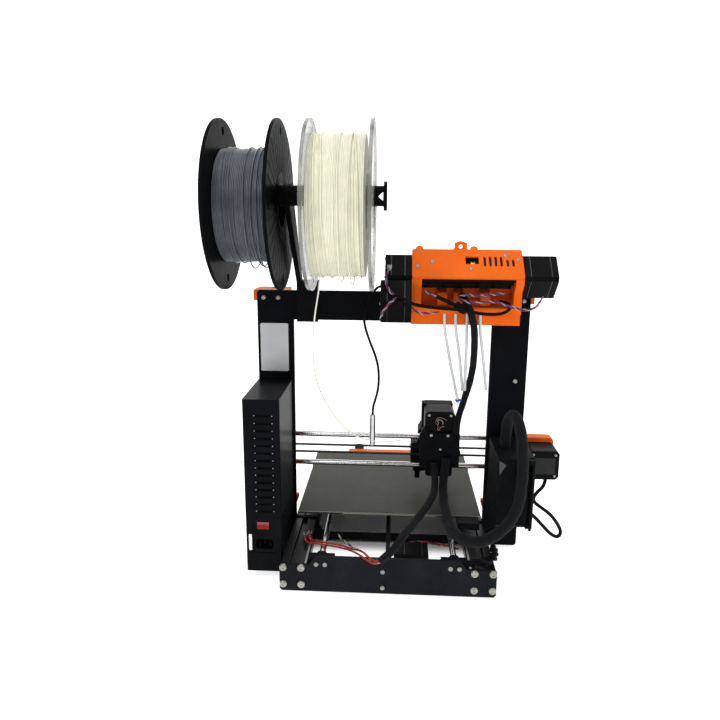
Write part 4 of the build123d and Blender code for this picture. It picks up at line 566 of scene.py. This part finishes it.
def tube_mesh(name, line, radius, count=16, uv=True):
    """Tube along points in metres; radius is a number or a function of (distance, angle)."""
    reach = [0.0]
    for a, b in zip(line, line[1:]):
        reach.append(reach[-1] + (b - a).length)
    verts, faces = [], []
    for point, (_, side, other), s in zip(line, frames(line), reach):
        for k in range(count):
            a = TAU * k / count
            verts.append(point + spin(side, other, a, radius(s, a) if callable(radius) else radius))
    rows = rows_of(len(line), count)
    for a, b in zip(rows, rows[1:]):
        faces += band(a, b, count)
    faces += [tuple(reversed(rows[0])), tuple(rows[-1])]
    mesh = bpy.data.meshes.new(name)
    mesh.from_pydata(verts, [], faces)
    if uv:
        layer = mesh.uv_layers.new(name="UVMap")
        for polygon in mesh.polygons:
            corners = list(polygon.vertices)
            wrap = len(corners) == 4 and {c % count for c in corners} >= {0, count - 1}
            for loop, corner in zip(polygon.loop_indices, corners):
                u = (corner % count) / count
                if wrap and corner % count == 0:
                    u = 1.0
                layer.data[loop].uv = (u, reach[corner // count])
    smooth(mesh)
    mesh.update()
    return mesh


def mesh_cord(name, route, diameter, material, nodes, lumps=0.05, count=16):
    """A free cord as a slightly lumpy mesh tube."""
    line = along_nurbs(name, route)
    r = diameter * MM / 2

    def shape(s, a):
        return r * (1 + lumps * (0.5 * math.sin(s * 310 + 2 * a) + 0.5 * math.sin(s * 173 - a + 1.3)))

    obj = put(name, tube_mesh(name, line, shape, count))
    obj.data.materials.append(M[material])
    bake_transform(obj)
    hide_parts(nodes)


def curve_cord(name, route, diameter, material, nodes=None):
    """A free cord on the base as a NURBS curve with a round section."""
    curve = nurbs(name, route, 8)
    curve.bevel_depth = diameter * MM / 2
    curve.bevel_resolution = 3
    curve.use_fill_caps = True
    curve.materials.append(M[material])
    obj = put(name, curve)
    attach(obj, "base")
    if nodes:
        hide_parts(nodes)


def cad(name, material, bevel):
    """Gives a kept CAD node its finish and softened edges."""
    obj = NODES[name]
    obj.data.materials.clear()
    obj.data.materials.append(M[material])
    smooth(obj.data)
    weld = obj.modifiers.new("weld", "WELD")
    weld.merge_threshold = 1e-6
    flat = obj.modifiers.new("flat", "DECIMATE")
    flat.decimate_type = "DISSOLVE"
    flat.angle_limit = math.radians(0.6)
    if bevel:
        soften(obj, bevel, 35)
    shade = obj.modifiers.new("shade", "WEIGHTED_NORMAL")
    shade.mode = "FACE_AREA"
    shade.weight = 90
    shade.thresh = 0.01


# ---- cords, from where each leaves the machine
mesh_cord(
    "extruder_bundle_upper",
    [(-80, -0.9, 136), (-78, 3.4, 119), (-76, 14, 104), (-75, 34, 94), (-75, 58, 89), (-77, 84, 86)], 12.0, "sleeve",
    nodes="extruder_cable_upper", count=24,
)
mesh_cord(
    "extruder_bundle_lower",
    [
        (-77, 84, 86), (-79, 110, 83), (-88, 132, 83), (-104, 147, 83.5), (-125, 146, 89.5), (-145, 133, 99),
        (-160, 119, 115.5), (-165, 112, 140), (-166, 109, 170), (-165, 101, 196), (-163, 88, 217),
        (-158, 72, 226), (-154, 57, 216), (-153, 50, 197), (-153, 50, 170.5),
    ], 14.0, "sleeve",
    nodes="extruder_cable_lower", count=24,
)
MMU_UPPER = [
    (-90, 24, 371), (-93, 36, 368), (-99, 44, 356), (-104.5, 43, 341), (-107.5, 37, 323), (-109.5, 28, 304),
    (-110.2, 16, 275),
]
MMU_LOWER = [
    (-110.2, 16, 275), (-107.3, 9, 248), (-103.6, 2, 232), (-100.5, -3, 216), (-96, -6, 198), (-94, -8, 185),
    (-94, -8, 171),
]
mesh_cord(
    "changer_bundle_upper", MMU_UPPER, 9.2, "sleeve",
    nodes="mmu_cable", lumps=0.04, count=20,
)
mesh_cord(
    "changer_bundle_lower", MMU_LOWER, 9.2, "sleeve",
    nodes="mmu_cable", lumps=0.04, count=20,
)
LOOSE_UPPER = [(-63, -1, 128), (-64, 8, 113), (-64, 24, 103), (-60, 48, 98), (-50, 74, 95.5)]
LOOSE_LOWER = [(-50, 74, 95.5), (-38, 102, 92.5), (-26, 128, 90), (-14, 152, 85), (-3, 161, 73), (8, 157, 62)]
mesh_cord(
    "second_bundle_upper", LOOSE_UPPER, 9.8, "sleeve_small",
    nodes="loose_sleeve", count=20,
)
mesh_cord(
    "second_bundle_lower", LOOSE_LOWER, 9.8, "sleeve_small",
    nodes="loose_sleeve", count=20,
)
mesh_cord(
    "x_motor_lead",
    [
        (-222, -5, 107.35), (-222, -5, 97), (-210, -4, 86), (-205, -1, 75), (-217, 4, 67), (-230, 8, 59),
        (-241, 12, 45), (-245, 14, 34), (-240, 14.5, 27), (-230, 12, 31), (-218, 10, 44), (-204, 8, 58),
        (-193, 10, 66), (-181, 15, 66), (-171, 20, 67), (-164, 23.5, 71.5), (-164, 23.5, 80),
    ], 5.0, "sleeve_small",
    nodes="x_motor_cable",
)
curve_cord(
    "hanging_probe_lead",
    [
        (10.1, 9, 380.5), (16.1, 9, 380.5), (22, 8.8, 377), (27, 8.6, 370.5), (31.5, 8.8, 362.5),
        (35.4, 9.5, 353.5), (37.6, 10, 343.5), (37.8, 10, 332), (34.8, 9, 319), (28.8, 8, 302), (22.1, 7, 285.5),
        (17.7, 7, 269), (16.7, 7, 251), (18.1, 7, 234), (22.4, 7, 219), (24.8, 7, 210), (24.8, 7, 200.8),
    ], 3.5, "cable", nodes="probe_cable",
)
curve_cord(
    "loose_strand",
    [
        (86, 106.6, 400.9), (88, 101, 386), (91, 96, 371), (94.7, 90, 352), (97.4, 84, 331), (99.4, 75, 297),
        (97.5, 67, 268), (91.2, 60, 245), (80.7, 54, 222), (68.2, 50, 203), (55.3, 47, 188.6), (44.1, 45, 180.6),
        (31.1, 43, 176), (11.4, 40, 172.3), (-5, 36, 172.6), (-19.8, 32, 173.7),
    ], 1.8, "white_filament", nodes="filament_strand",
)
TUBES = [
    ([(-68, 32.6, 348), (-68, 32.6, 330), (-74, 26, 305), (-80, 17, 274), (-88, 9, 243), (-93, 5, 220)], 0.1339),
    ([(-82.5, 32.6, 348), (-82.5, 32.6, 330), (-88.5, 26, 303), (-94, 16, 268), (-98, 8, 238)], 0.1143),
    ([(-97.5, 32.6, 348), (-97.5, 32.6, 330), (-98.8, 27, 303), (-99.7, 19, 270), (-100.5, 13, 240)], 0.1101),
    ([(-114.5, 32.6, 348), (-114.5, 32.6, 330), (-119.5, 26, 303), (-125, 18, 270), (-129.5, 12, 241)], 0.1104),
]
for k, (route, length) in enumerate(TUBES):
    curve_cord(f"guide_tube_{k + 1}", route, 4.0, "ptfe",
        nodes="ptfe_tubes")
WIRES = [
    ([
        (8.7, 158.55, 61.9), (14.8, 156.4, 55.8), (24, 146, 54.5), (36, 129, 53.5), (48, 112, 49.8),
        (66, 103, 49), (84, 99, 49.6), (100, 95, 49), (111, 84, 44), (113, 68, 40.6),
    ], 0.150, "wire_red"),
    ([
        (8.8, 155.85, 63), (14.8, 153.6, 56.9), (25, 139, 57), (34, 121, 55), (44, 110, 49.6), (62, 97.5, 49),
        (84, 93, 49.6), (98, 88, 48.5), (106, 76, 43.5), (108, 62, 40.6),
    ], 0.1487, "wire_red"),
]
for k, (route, length, tone) in enumerate(WIRES):
    curve_cord(f"bed_wire_{k + 1}", route, 2.6, tone, nodes="loose_wires")


# ---- finishes on the kept CAD nodes
for finish, edge, names in (
    ("frame", 0.35, "frame_plate"), ("frame", 0.3, "y_carriage"), ("plate", 0.35, "end_plates"),
    ("profile", 0.25, "extrusions"),
    ("rubber", 0.5, "rubber_feet"), ("zinc", 0.2, "frame_screws"), ("psu", 0.5, "psu_housing"),
    ("red", 0.4, "power_switch"),
    ("print", 0.4, "psu_cover y_axis_mounts bed_cable_cover x_carriage extruder_body extruder_door"),
    ("print", 0.5, "electronics_case electronics_door spool_holder"), ("pcb", 0.1, "control_board"),
    ("orange", 0.4, "z_axis_mounts x_end_motor_side x_end_idler_side mmu_body"), ("orange", 0.5, "display_cover"),
    ("orange", 0.35, "mmu_cover"), ("motor", 0.3, "fixed_motors x_motor extruder_motor"),
    ("rod", 0.2, "smooth_rods x_rods"),
    ("rod_z", 0, "lead_screw_left lead_screw_right"), ("aluminium", 0.1, "y_pulley y_idler x_pulley x_idler hotend"),
    ("aluminium", 0.3, "filament_probe"), ("belt", 0, "y_belt x_belt"), ("bed", 0.2, "heatbed"),
    ("sheet", 0.15, "steel_sheet"),
    ("fan", 0.3, "cooling_fans"), ("fan", 0.15, "hotend_fan_rotor print_fan_rotor"), ("screen", 0.2, "display_screen"),
    ("knob", 0.4, "display_knob"), ("drum", 0.15, "mmu_pulley_shaft"), ("spool_black", 0.3, "grey_spool"),
    ("spool_clear", 0.3, "white_spool"),
):
    for node_name in names.split():
        cad(node_name, finish, edge)


def screw_head(origin, axis, radius, height, socket=0.46):
    """Button-head screw with a hexagon socket, seated on origin and standing along axis."""
    def hexed(share):
        return lambda a: radius * share * math.cos(math.pi / 6) / math.cos((a % (math.pi / 3)) - math.pi / 6)

    rounds = ((0.0, 1.0), (0.35, 1.0), (0.7, 0.9), (0.93, 0.7), (1.0, 0.52), (1.0, socket * 1.12))
    profile = [(height * along, radius * share) for along, share in rounds]
    profile += [(height * 0.95, hexed(socket)), (height * 0.4, hexed(socket * 0.95)), (height * 0.36, 0)]
    verts, faces = lathe(profile, origin, axis, 24)
    return verts, faces + [tuple(reversed(range(24)))]


def loop_tube(points, radius, count=10):
    """Closed ring tube through points in machine millimetres."""
    verts, faces = [], []
    n = len(points)
    points = [Vector(p) for p in points]
    for i, point in enumerate(points):
        tangent = (points[(i + 1) % n] - points[i - 1]).normalized()
        side = tangent.cross(Vector((1, 0, 0))).normalized()
        verts += [tuple(point + spin(side, tangent.cross(side), TAU * k / count, radius)) for k in range(count)]
    rows = rows_of(n, count)
    for i in range(n):
        faces += band(rows[i], rows[(i + 1) % n], count)
    return verts, faces


# ---- filament windings
AXIS_Y, AXIS_Z = 82, 482


def wound(x0, x1, radius, seed, inner=30.0, count=144, uneven=0.35):
    """Wound filament, strand beside strand, each strand wandering a little."""
    rng = random.Random(seed)
    n = int((x1 - x0) / 1.76)
    pitch = (x1 - x0) / n
    verts, faces, rows = [], [], []

    def ring(xs, rs):
        rows.append(range(len(verts), len(verts) + count))
        for k in range(count):
            a = TAU * k / count
            verts.append((xs(a), AXIS_Y + rs(a) * math.sin(a), AXIS_Z + rs(a) * math.cos(a)))

    ring(lambda a: x0, lambda a: inner)
    for i in range(n):
        centre = x0 + pitch * (i + 0.5)
        lift = rng.uniform(-uneven, uneven) - (0.9 if rng.random() < 0.12 else 0)
        phase, turns = rng.uniform(0, TAU), rng.choice((1, 2, 3))
        sway = rng.uniform(0.05, 0.3)
        room = min(1.0, 0.6 + min(i, n - 1 - i) * 0.2)
        for step in range(5):
            t = math.pi * (1 - step / 4)
            dx, dr = pitch / 2 * math.cos(t), pitch * 0.5 * math.sin(t)
            ring(
                lambda a, dx=dx: centre + dx + (sway * math.sin(turns * a + phase) * room if 0 < i < n - 1 else 0),
                lambda a, dr=dr: radius - pitch / 2 + lift * (0.6 + 0.4 * math.sin(a + phase)) + dr,
            )
    ring(lambda a: x1, lambda a: inner)
    for a, b in zip(rows, rows[1:] + rows[:1]):
        faces += band(a, b, count)
    return verts, faces


def slack(x, radius, drop, shift, low, seed, count=160, thick=0.875):
    """One slack turn over a winding, hanging off it by drop at the angle low and drifting by shift."""
    points = []
    for k in range(count):
        a = TAU * k / count
        hang = max(0.0, math.cos(a - low)) ** 3
        r = radius + thick + 0.1 + drop * hang
        points.append((x + shift * math.sin(a + seed) * 0.5 + shift * hang, AXIS_Y + r * math.sin(a),
            AXIS_Z + r * math.cos(a)))
    return loop_tube(points, thick)


grey = detail("grey_winding", [
    wound(138.8, 202.4, 66.2, 5),
    *[slack(x, 66.2, *turn) for x, *turn in (
        (150, 5.5, 4, math.pi * 0.94, 0.4), (158, 4.0, -3, math.pi * 0.97, 2.0), (166, 6.5, 2.5, math.pi, 1.1),
        (181, 0.0, 4.5, 0, 0.5), (190, 0.0, 3.0, 0, 2.9),
    )],
], "grey_filament", "grey_reel", angle=80)
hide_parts("grey_filament")
white = detail("white_winding", [
    wound(32.4, 96.6, 83.2, 11, uneven=0.3),
    *[slack(x, 83.2, *turn) for x, *turn in (
        (60, 5.0, 3, math.pi * 0.97, 1.0), (50, 8.5, -4, math.pi, 1.6), (74, 0.0, 9, 0, 0.2), (40, 0.0, 5, 0, 2.2),
        (86, 0.0, 3.5, 0, 1.2),
    )],
], "white_filament", "white_reel", angle=80)
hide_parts("white_filament")


# ---- motors: seams, end screws and a bare label
MOTOR_SIZE = 42.3
MOTOR_CORNER = 4.5
MOTOR_PITCH = 31
SEAM_PROUD = 0.12


def square_band(middle, axis, width, tilt=0.0):
    """Thin square ring round a motor body, its middle on the motor's axis."""
    axis, side, other = across(axis, tilt)
    half, cut = MOTOR_SIZE / 2 + SEAM_PROUD, MOTOR_CORNER
    low = half - cut
    outline = [(half, low), (low, half), (-low, half), (-half, low), (-half, -low), (-low, -half), (low, -half),
        (half, -low)]
    verts, faces = [], []
    for along, scale in ((-width / 2, 1.0), (width / 2, 1.0), (width / 2, 0.985), (-width / 2, 0.985)):
        for u, v in outline:
            verts.append(tuple(Vector(middle) + axis * along + side * u * scale + other * v * scale))
    rows = rows_of(4, len(outline))
    for a, b in zip(rows, rows[1:] + rows[:1]):
        faces += band(a, b, len(outline))
    return verts, faces


def corner_screws(face, axis, radius, height, tilt=0.0):
    axis, side, other = across(axis, tilt)
    half = MOTOR_PITCH / 2
    places = [side * u + other * v for u in (-half, half) for v in (-half, half)]
    return [screw_head(Vector(face) + place, axis, radius, height) for place in places]


TILT = math.radians(45)
UPPER_MOTOR, LOWER_MOTOR = (20, 395.5), (50.2, 365.3)  # y and z of the changer's motor axes
detail("changer_motor_seams", [
    square_band((x, *place), ALONG_X, 0.9, TILT)
    for places, place in (((-15.5, 2.0), UPPER_MOTOR), ((-15.5, 6.5), LOWER_MOTOR),
        ((-174.5, -200.5), UPPER_MOTOR)) for x in places
], "seam")
detail("changer_motor_screws", [
    screw for face, axis in (((10.1, *UPPER_MOTOR), ALONG_X), ((15, *LOWER_MOTOR), ALONG_X),
        ((-209, *UPPER_MOTOR), (-1, 0, 0)))
    for screw in corner_screws(face, axis, 1.7, 1.0, TILT)
], "zinc")
detail("bed_motor_seams", [square_band((x, 96, 26), ALONG_X, 0.8) for x in (-21.5, -44.5)], "seam")
detail("x_motor_seams", [square_band((-218, y, 128.5), ALONG_Y, 0.8) for y in (-33.5, -10.5)], "seam", "gantry")
detail("x_motor_screws", corner_screws((-218, -1.8, 128.5), ALONG_Y, 1.9, 1.1), "zinc", "gantry")
detail("x_motor_label", [prism(rounded(-218.5, 127.5, 31, 24, 1.2), "xz", -1.8, -1.62)], "dark_label", "gantry")
detail("extruder_motor_seams", [square_band((-70.5, y, 179.95), ALONG_Y, 0.8) for y in (-43.5, -20.5)], "seam",
    "carriage")
detail("extruder_motor_screws", corner_screws((-70.5, -12, 179.95), ALONG_Y, 1.9, 0.3), "zinc", "carriage")
detail("z_motor_seams", [square_band((x, -35.3, z), (0, 0, 1), 0.8) for x in (166, -166) for z in (38.5, 14.5)], "seam")


# ---- power supply: bare label, sticker and louvre dots that are painted highlights
detail("bare_frame_label", [prism(rounded(162.0, 292.8, 38.8, 67.4, 2.0), "xz", 0.02, 0.22)], "label", bevel=0.04)
detail("cover_sticker", [prism(rounded(179.4, 53.9, 3.9, 22.4, 0.6), "xz", 107.02, 107.17)], "sticker")
# Metal dots at the louvre ends: painted highlights where the slot ends catch the light.
detail("louvre_painted_highlights", [
    lathe([
        (0, 0.0), (0, 0.75), (0.2, 0.7), (0.3, 0.45), (0.3, 0),
    ], (158.9 + side * 11.3, 107.0, 98 + 128.5 * k / 13), ALONG_Y, 14)
    for k in range(14) for side in (-1, 1)
], "louvre")


# ---- screws: sockets over the plates' plain heads, and screws on the printed parts
END_BOLTS = [(s * 121 + u * 11.5, 23.6 + v * 11.5) for s in (-1, 1) for u in (-1, 1) for v in (-1, 1)]
END_SCREWS = [(s * 84.7 + u * 5.6, 40.3) for s in (-1, 1) for u in (-1, 1)] + [(6, 10.6), (6, 32.8)]
FRAME_SCREWS = [(155.8, 362), (175.7, 362), (-155.8, 362), (-175.7, 362), (-170, 251)]
detail("end_plate_sockets", [
    screw_head((x, y, z), ALONG_Y, radius, height, socket)
    for y, places, radius, height, socket in (
        (132.7, END_BOLTS, 4.75, 3.7, 0.36), (132.7, END_SCREWS, 3.0, 2.4, 0.4), (0, FRAME_SCREWS, 3.0, 2.4, 0.4),
    )
    for x, z in places
], "zinc")
detail("x_end_screws", [
    screw_head((x, -58.8, z), (0, -1, 0), 2.6, 1.6) for x, z in ((172, 108), (190, 108), (172, 149), (190, 149))
], "zinc", "gantry")
detail("extruder_screws", [
    screw_head((x, -107.3, z), (0, -1, 0), 2.4, 1.4) for x, z in ((-92, 111), (-48, 111), (-92, 155), (-48, 155))
], "zinc", "carriage")


# ---- wires of several colours
LOOSENESS = 0.25


def twisted(name, route, tones, radius, spread, turns,
            nodes=None):
    """Wires wound loosely round each other along a route, as one cord on the base."""
    tones = tones.split()
    line = along_nurbs(name, route, 12)
    total = sum((b - a).length for a, b in zip(line, line[1:]))
    around = frames(line)
    verts, faces, tone_of = [], [], []
    for k, tone in enumerate(tones):
        strand, reach = [], 0.0
        for i, (point, (_, side, other)) in enumerate(zip(line, around)):
            if i:
                reach += (point - line[i - 1]).length
            share = reach / total
            a = TAU * (turns * share + k / len(tones)) + LOOSENESS * math.sin(9 * share + 2 * k)
            out = spread * MM * (1 + LOOSENESS * math.sin(13 * share + 1.7 * k)) * min(1.0,
                0.25 + 6 * min(share, 1 - share))
            strand.append(point + spin(side, other, a, out))
        tube = tube_mesh(name + "_strand", strand, radius * MM, 8, uv=False)
        base = len(verts)
        verts += [v.co.copy() for v in tube.vertices]
        for polygon in tube.polygons:
            faces.append(tuple(base + v for v in polygon.vertices))
            tone_of.append(k)
        bpy.data.meshes.remove(tube)
    mesh = bpy.data.meshes.new(name)
    mesh.from_pydata(verts, [], faces)
    for tone in tones:
        mesh.materials.append(M[tone])
    mesh.polygons.foreach_set("material_index", tone_of)
    smooth(mesh)
    mesh.update()
    obj = put(name, mesh)
    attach(obj, "base")
    if nodes:
        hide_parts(nodes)


twisted("bed_wire_3", [
    (6.9, 156.45, 60.8), (13, 154.3, 54.8), (20, 142, 52.9), (27, 125, 52), (36, 110, 48.5), (50, 95, 47),
    (61, 80, 46.5), (69, 62, 46),
], "wire_white wire_yellow wire_blue wire_black", 0.62, 0.85, 6, nodes="loose_wires")


# ---- filament changer: cover screws, painted shade plates under the cover, inner parts and wires
COVER_MIDDLE = Vector((-95.25, 32.5, 413.5))
COVER_OUT = Vector((0, 33, 35)).normalized()
COVER_UP = Vector((0, -35, 33)).normalized()


def on_cover(u, v, w=0.0):
    """A point of the changer's cover: u across it, v up its slope, w out of it."""
    return COVER_MIDDLE + Vector((-u, 0, 0)) + COVER_UP * v + COVER_OUT * w


def slab(u, v, w):
    verts = [tuple(on_cover(a, b, c)) for c in w for b in v for a in u]
    return verts, [(0, 2, 3, 1), (4, 5, 7, 6), (0, 1, 5, 4), (2, 6, 7, 3), (0, 4, 6, 2), (1, 3, 7, 5)]


COVER_SCREWS = ((-44.9, 2.4), (4.1, -9.6), (48.8, 14.1), (-64.2, -5.6), (64.7, 6.5))
detail("changer_cover_screws", [screw_head(on_cover(u, v, -0.2), COVER_OUT, 2.5, 1.3) for u, v in COVER_SCREWS], "zinc")
# Near-black plates under the cover's slots and window: painted shade for the unlit inside of the changer.
detail("changer_painted_shade_plates", [
    slab((15.5, 66), (-4.5, 12.5), (-3.4, -2.7)), slab((-3.2, 15.2), (-4.7, 12.7), (-9.8, -8.6)),
    slab((-3.4, -2.8), (-4.7, 12.7), (-9, -2.6)),
    slab((14.9, 15.4), (-4.7, 12.7), (-9, -2.6)), slab((-3.2, 15.2), (12.2, 12.8), (-9, -2.6)),
    slab((-3.2, 15.2), (-4.8, -4.2), (-9, -2.6)),
], "dark")
detail("changer_selector_wheel", [
    lathe([
        (0, 1.5), (0, 4.2), (0.8, 4.4), (1.6, 3.2), (3.4, 3.2), (4.2, 4.4), (5.0, 4.2), (5.0, 1.5),
    ], on_cover(9.5, 1.5, -5.0), ALONG_X, 26),
], "brass")
detail("changer_inner_wall", [
    block((-155.7, 8.3, 379), (-37.3, 12, 404)),
    block((-155.5, 39.5, 390.8), (-37.5, 46.4, 393.7)),
    *[block((x, 12, 384), (x + 1.6, 22, 404)) for x in (-149, -128.5, -107.5, -86.5, -65.5, -44.5)],
], "drum", bevel=0.3)
detail("changer_inner_ribs", [
    prism([(8.3, 357.2), (24, 357.2), (22, 366), (18, 374), (8.3, 378.6)], "yz", x, x + 13) for x in (-128, -93, -72)
], "orange", bevel=0.5)
detail("changer_eyelet_block", [
    block((-95.6, 11.1, 428.5), (-92.6, 14.9, 438.6)), block((-82.4, 11.1, 428.5), (-79.4, 14.9, 438.6)),
    block((-92.6, 11.1, 438.2), (-82.4, 14.9, 440.0)),
], "orange", bevel=0.8)
detail("changer_motor_plug", [block((1.5, 33.5, 403), (7.5, 39.5, 410.5)),
    block((2.3, 38.5, 404), (6.7, 42.0, 409.5))], "wire_white",
       bevel=0.4)
detail("changer_tape", [
    lathe([
        (0, 3.0), (0, 5.0), (2, 5.9), (6, 5.4), (10, 6.0), (14, 5.4), (16.5, 4.6), (16.5, 3.0),
    ], (-80.5, 42.5, 360.5), (-14.2, 4.5, -7), 22),
], "cable")
twisted("changer_wires_upper", [
    (-84, 41, 372), (-92, 42, 374.6), (-102.6, 42, 372.8), (-119, 42, 373.4), (-134, 40, 375.2), (-147, 34, 376),
], "wire_purple wire_blue wire_red wire_white wire_black", 0.5, 1.15, 5)
twisted("changer_wires_lower", [
    (-82.5, 41, 371), (-87.9, 44, 367.5), (-98, 45.5, 364.5), (-108, 46, 364.2), (-121.8, 45, 366.6),
    (-136.5, 45, 364.5), (-153.4, 46, 359), (-169.5, 48.5, 355.4), (-180, 48.5, 358.6), (-187.5, 44, 366),
    (-192.5, 36, 372.5),
], "wire_white wire_red wire_purple wire_blue wire_black", 0.5, 1.15, 8)
twisted("changer_wires_left", [
    (4.6, 41.5, 407), (8.2, 48, 398.5), (8.8, 59, 390.5), (5, 69.5, 381.5), (-4, 73, 376), (-14, 73.5, 370),
    (-24, 69, 359), (-33, 63, 353), (-43.5, 56, 351), (-60, 50, 352.5),
], "wire_red wire_blue wire_white wire_purple wire_black", 0.5, 1.15, 7)
twisted("changer_wires_tail", [(-6, 75, 374.5), (1, 78.5, 369), (7.5, 81, 362), (12.5, 81, 354.5),
    (14.5, 79.5, 348.5)], "wire_blue wire_red wire_white", 0.6, 1.0, 3)
twisted("changer_pair", [
    (-42.3, 37, 378.5), (-45.5, 40, 375.8), (-50, 42, 373), (-57.3, 42, 371), (-68, 42.5, 366.5), (-78, 43, 362),
], "wire_white wire_blue", 0.75, 0.8, 2)
curve_cord("changer_pair_sleeve", [
    (-56.5, 42.1, 371.2), (-63, 42.6, 368.5), (-71, 43, 365), (-79, 43, 361), (-86, 44, 358),
], 5.2,
           "sleeve_small")
curve_cord("changer_long_lead", [
    (-2, 75.6, 376.5), (-10, 75.6, 374), (-20, 73, 368), (-30, 65, 363), (-42, 57, 360), (-60, 53, 357.6),
    (-75, 53, 357), (-90, 54, 355.8), (-109, 54, 351.8), (-128.2, 51, 350.2), (-141, 48, 351.4),
    (-149, 44.5, 355.5), (-151, 40.5, 361), (-146, 36, 364.5), (-138, 31, 364.5),
], 4.2, "cable")


# ---- carriage: bosses, wire ends and screws
detail("carriage_bosses", [
    lathe([
        (0, 0), (0, 9.0), (3.2, 9.0), (4.6, 7.6), (4.6, 4.2), (3.4, 3.8), (3.4, 0),
    ], (-50.2, -12.5, 150.5), ALONG_Y, 36),
    lathe([(0, 0), (0, 11.5), (1.6, 11.5), (2.6, 9.8), (3.0, 5.0), (3.0, 0)], (-58.5, -9.5, 135), ALONG_Y, 36),
    lathe([(0, 0), (0, 9.5), (1.6, 9.5), (2.6, 8.2), (3.0, 4.0), (3.0, 0)], (-91.5, -9.5, 141), ALONG_Y, 36),
    lathe([(0, 0), (0, 5.2), (9, 5.2), (10, 4.2), (10, 0)], (-49.8, -17, 172.5), ALONG_Y, 28),
    prism([
        (-64, 166), (-77, 166), (-79, 152), (-84, 140), (-84, 122), (-58, 122), (-58, 140), (-62, 152),
    ], "xz", -7.4, -6.7),
], "print", "carriage", bevel=0.25)
detail("carriage_screws", [
    *[screw_head((x, -7.3, z), ALONG_Y, 2.3, 0.8) for x, z in ((-58.6, 167), (-82.2, 167))],
    screw_head((-72, -6.8, 146.6), ALONG_Y, 1.7, 0.45),
], "zinc", "carriage")
for k, route in enumerate((
    [(-66, -11.4, 182), (-63.5, -9, 188), (-67, -7.5, 194), (-73, -8, 193.5), (-78, -8.4, 191), (-80, -9.4, 189)],
    [(-67, -11.4, 181), (-68.5, -8, 185), (-66, -7.2, 190.5), (-70.5, -8, 191), (-75, -8.6, 187.4), (-74.4, -9.4, 183)],
    [
        (-69, -11.4, 180), (-66.4, -8.4, 176.6), (-68.6, -7.6, 174), (-70.5, -8.4, 178.5), (-73.8, -8.2, 181),
        (-76.5, -9.4, 180),
    ],
)):
    name = f"motor_wire_end_{k + 1}"
    line = along_nurbs(name, route)
    obj = put(name, tube_mesh(name, line, 0.42 * MM, 8, uv=False))
    obj.data.materials.append(M[("wire_pink", "wire_white", "wire_pink")[k]])
    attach(obj, "carriage")
for k, (tone, height) in enumerate((("wire_yellow", 131.5), ("wire_blue", 134.5), ("wire_red", 137.3))):
    detail(f"fan_wire_end_{k + 1}", [rod((-29.2, -53.5, height), (-33.5, -52.8, height + 0.5), 0.75, 10)], tone,
        "carriage")
detail("fan_wire_holder", [block((-41, -55.2, 128.5), (-31.5, -52.2, 139.8))], "fan", "carriage", bevel=0.5)
detail("tube_tie", [lathe([(-1.3, 2.2), (-1.3, 3.2), (1.3, 3.2), (1.3, 2.2)], (-92, 5.3, 224), (-0.28, -0.2, -1), 20),
                    block((-97.6, 4.6, 222.6), (-94.6, 7.6, 225.4))], "tie_blue")


# ---- base: terminals, bundles and the bed's rear edge
detail("wire_boots", [rod((113, 69, 40.7), (114.2, 60.5, 40.4), 2.0, 16, tip=1.6),
    rod((108, 63, 40.7), (108.6, 54.5, 40.4), 2.0, 16, tip=1.6)], "wire_red")
detail("wire_forks", [
    part for x, y in ((114.3, 60), (108.7, 54))
    for part in (rod((x, y + 0.5, 40.5), (x + 0.3, y - 3, 40.4), 1.3, 12),
        block((x - 2.9, y - 5, 39.9), (x + 3.1, y - 2.6, 40.7)),
                 block((x - 2.9, y - 10.5, 39.9), (x - 1.2, y - 5, 40.7)),
                 block((x + 1.4, y - 10.5, 39.9), (x + 3.1, y - 5, 40.7)))
], "tinned", bevel=0.15)
twisted("profile_bundle", [
    (-99, 126, 44.6), (-108, 124.5, 44.8), (-119, 122.5, 45.2), (-130, 117, 45), (-138, 106, 44.8),
    (-140, 92, 44.6), (-139, 76, 44.6),
], "cable sleeve_small cable", 2.5, 2.7, 2)
twisted("bed_motor_wires", [
    (-28, 65.5, 39), (-40, 66, 40.4), (-55, 69, 41), (-69, 72, 41), (-83, 74.8, 40), (-95, 77.5, 37.5),
], "wire_red wire_black wire_red", 0.8, 1.1, 3)
detail("sheet_rear_edge", [block((-126.4, 37.35, 66.2), (126.4, 37.65, 66.85)),
    block((-66, 37.0, 64.9), (64, 38.4, 65.7))], "edge", "bed")
# Thin bluish triangle on the case corner: painted sheen, the reflection on that facet.
detail("case_corner_painted_sheen", [prism([(-138.6, 171.6), (-147.4, 166.2), (-139.4, 152.6)], "xz", 97.5, 97.72)], "facet")


# ---- spools: rims of the clear one, ribs and rings of the black one
detail("clear_spool_rims", [
    lathe([(a, 99.2), (a - 0.12, 100.2), (b + 0.12, 100.2), (b, 99.2)], (0, AXIS_Y, AXIS_Z), ALONG_X, 128)
    for a, b in ((23.2, 27.2), (96.9, 100.9))
] + [
    lathe([(a, r), (a, r + 0.9), (b, r + 0.9), (b, r)], (0, AXIS_Y, AXIS_Z), ALONG_X, 96)
    for r in (30.0, 52.0) for a, b in ((22.9, 23.25), (100.85, 101.2))
], "rim", "white_reel")


def spoke(angle, inner, outer, x, width, height):
    s, c = math.sin(angle), math.cos(angle)
    corners = [(inner, -width / 2), (outer, -width / 2), (outer, width / 2), (inner, width / 2)]
    outline = [(AXIS_Y + r * s + w * c, AXIS_Z + r * c - w * s) for r, w in corners]
    return prism(outline, "yz", x, x + height)


detail("black_spool_ribs", [spoke(TAU * k / 36, 40, 94, 133.95, 0.6, 0.32) for k in range(36)] + [
    lathe([(0, r), (0, r + 1.1), (0.5, r + 1.1), (0.5, r)], (133.95, AXIS_Y, AXIS_Z), ALONG_X, 96) for r in (29, 33,
    38.5)
], "spool_black", "grey_reel")
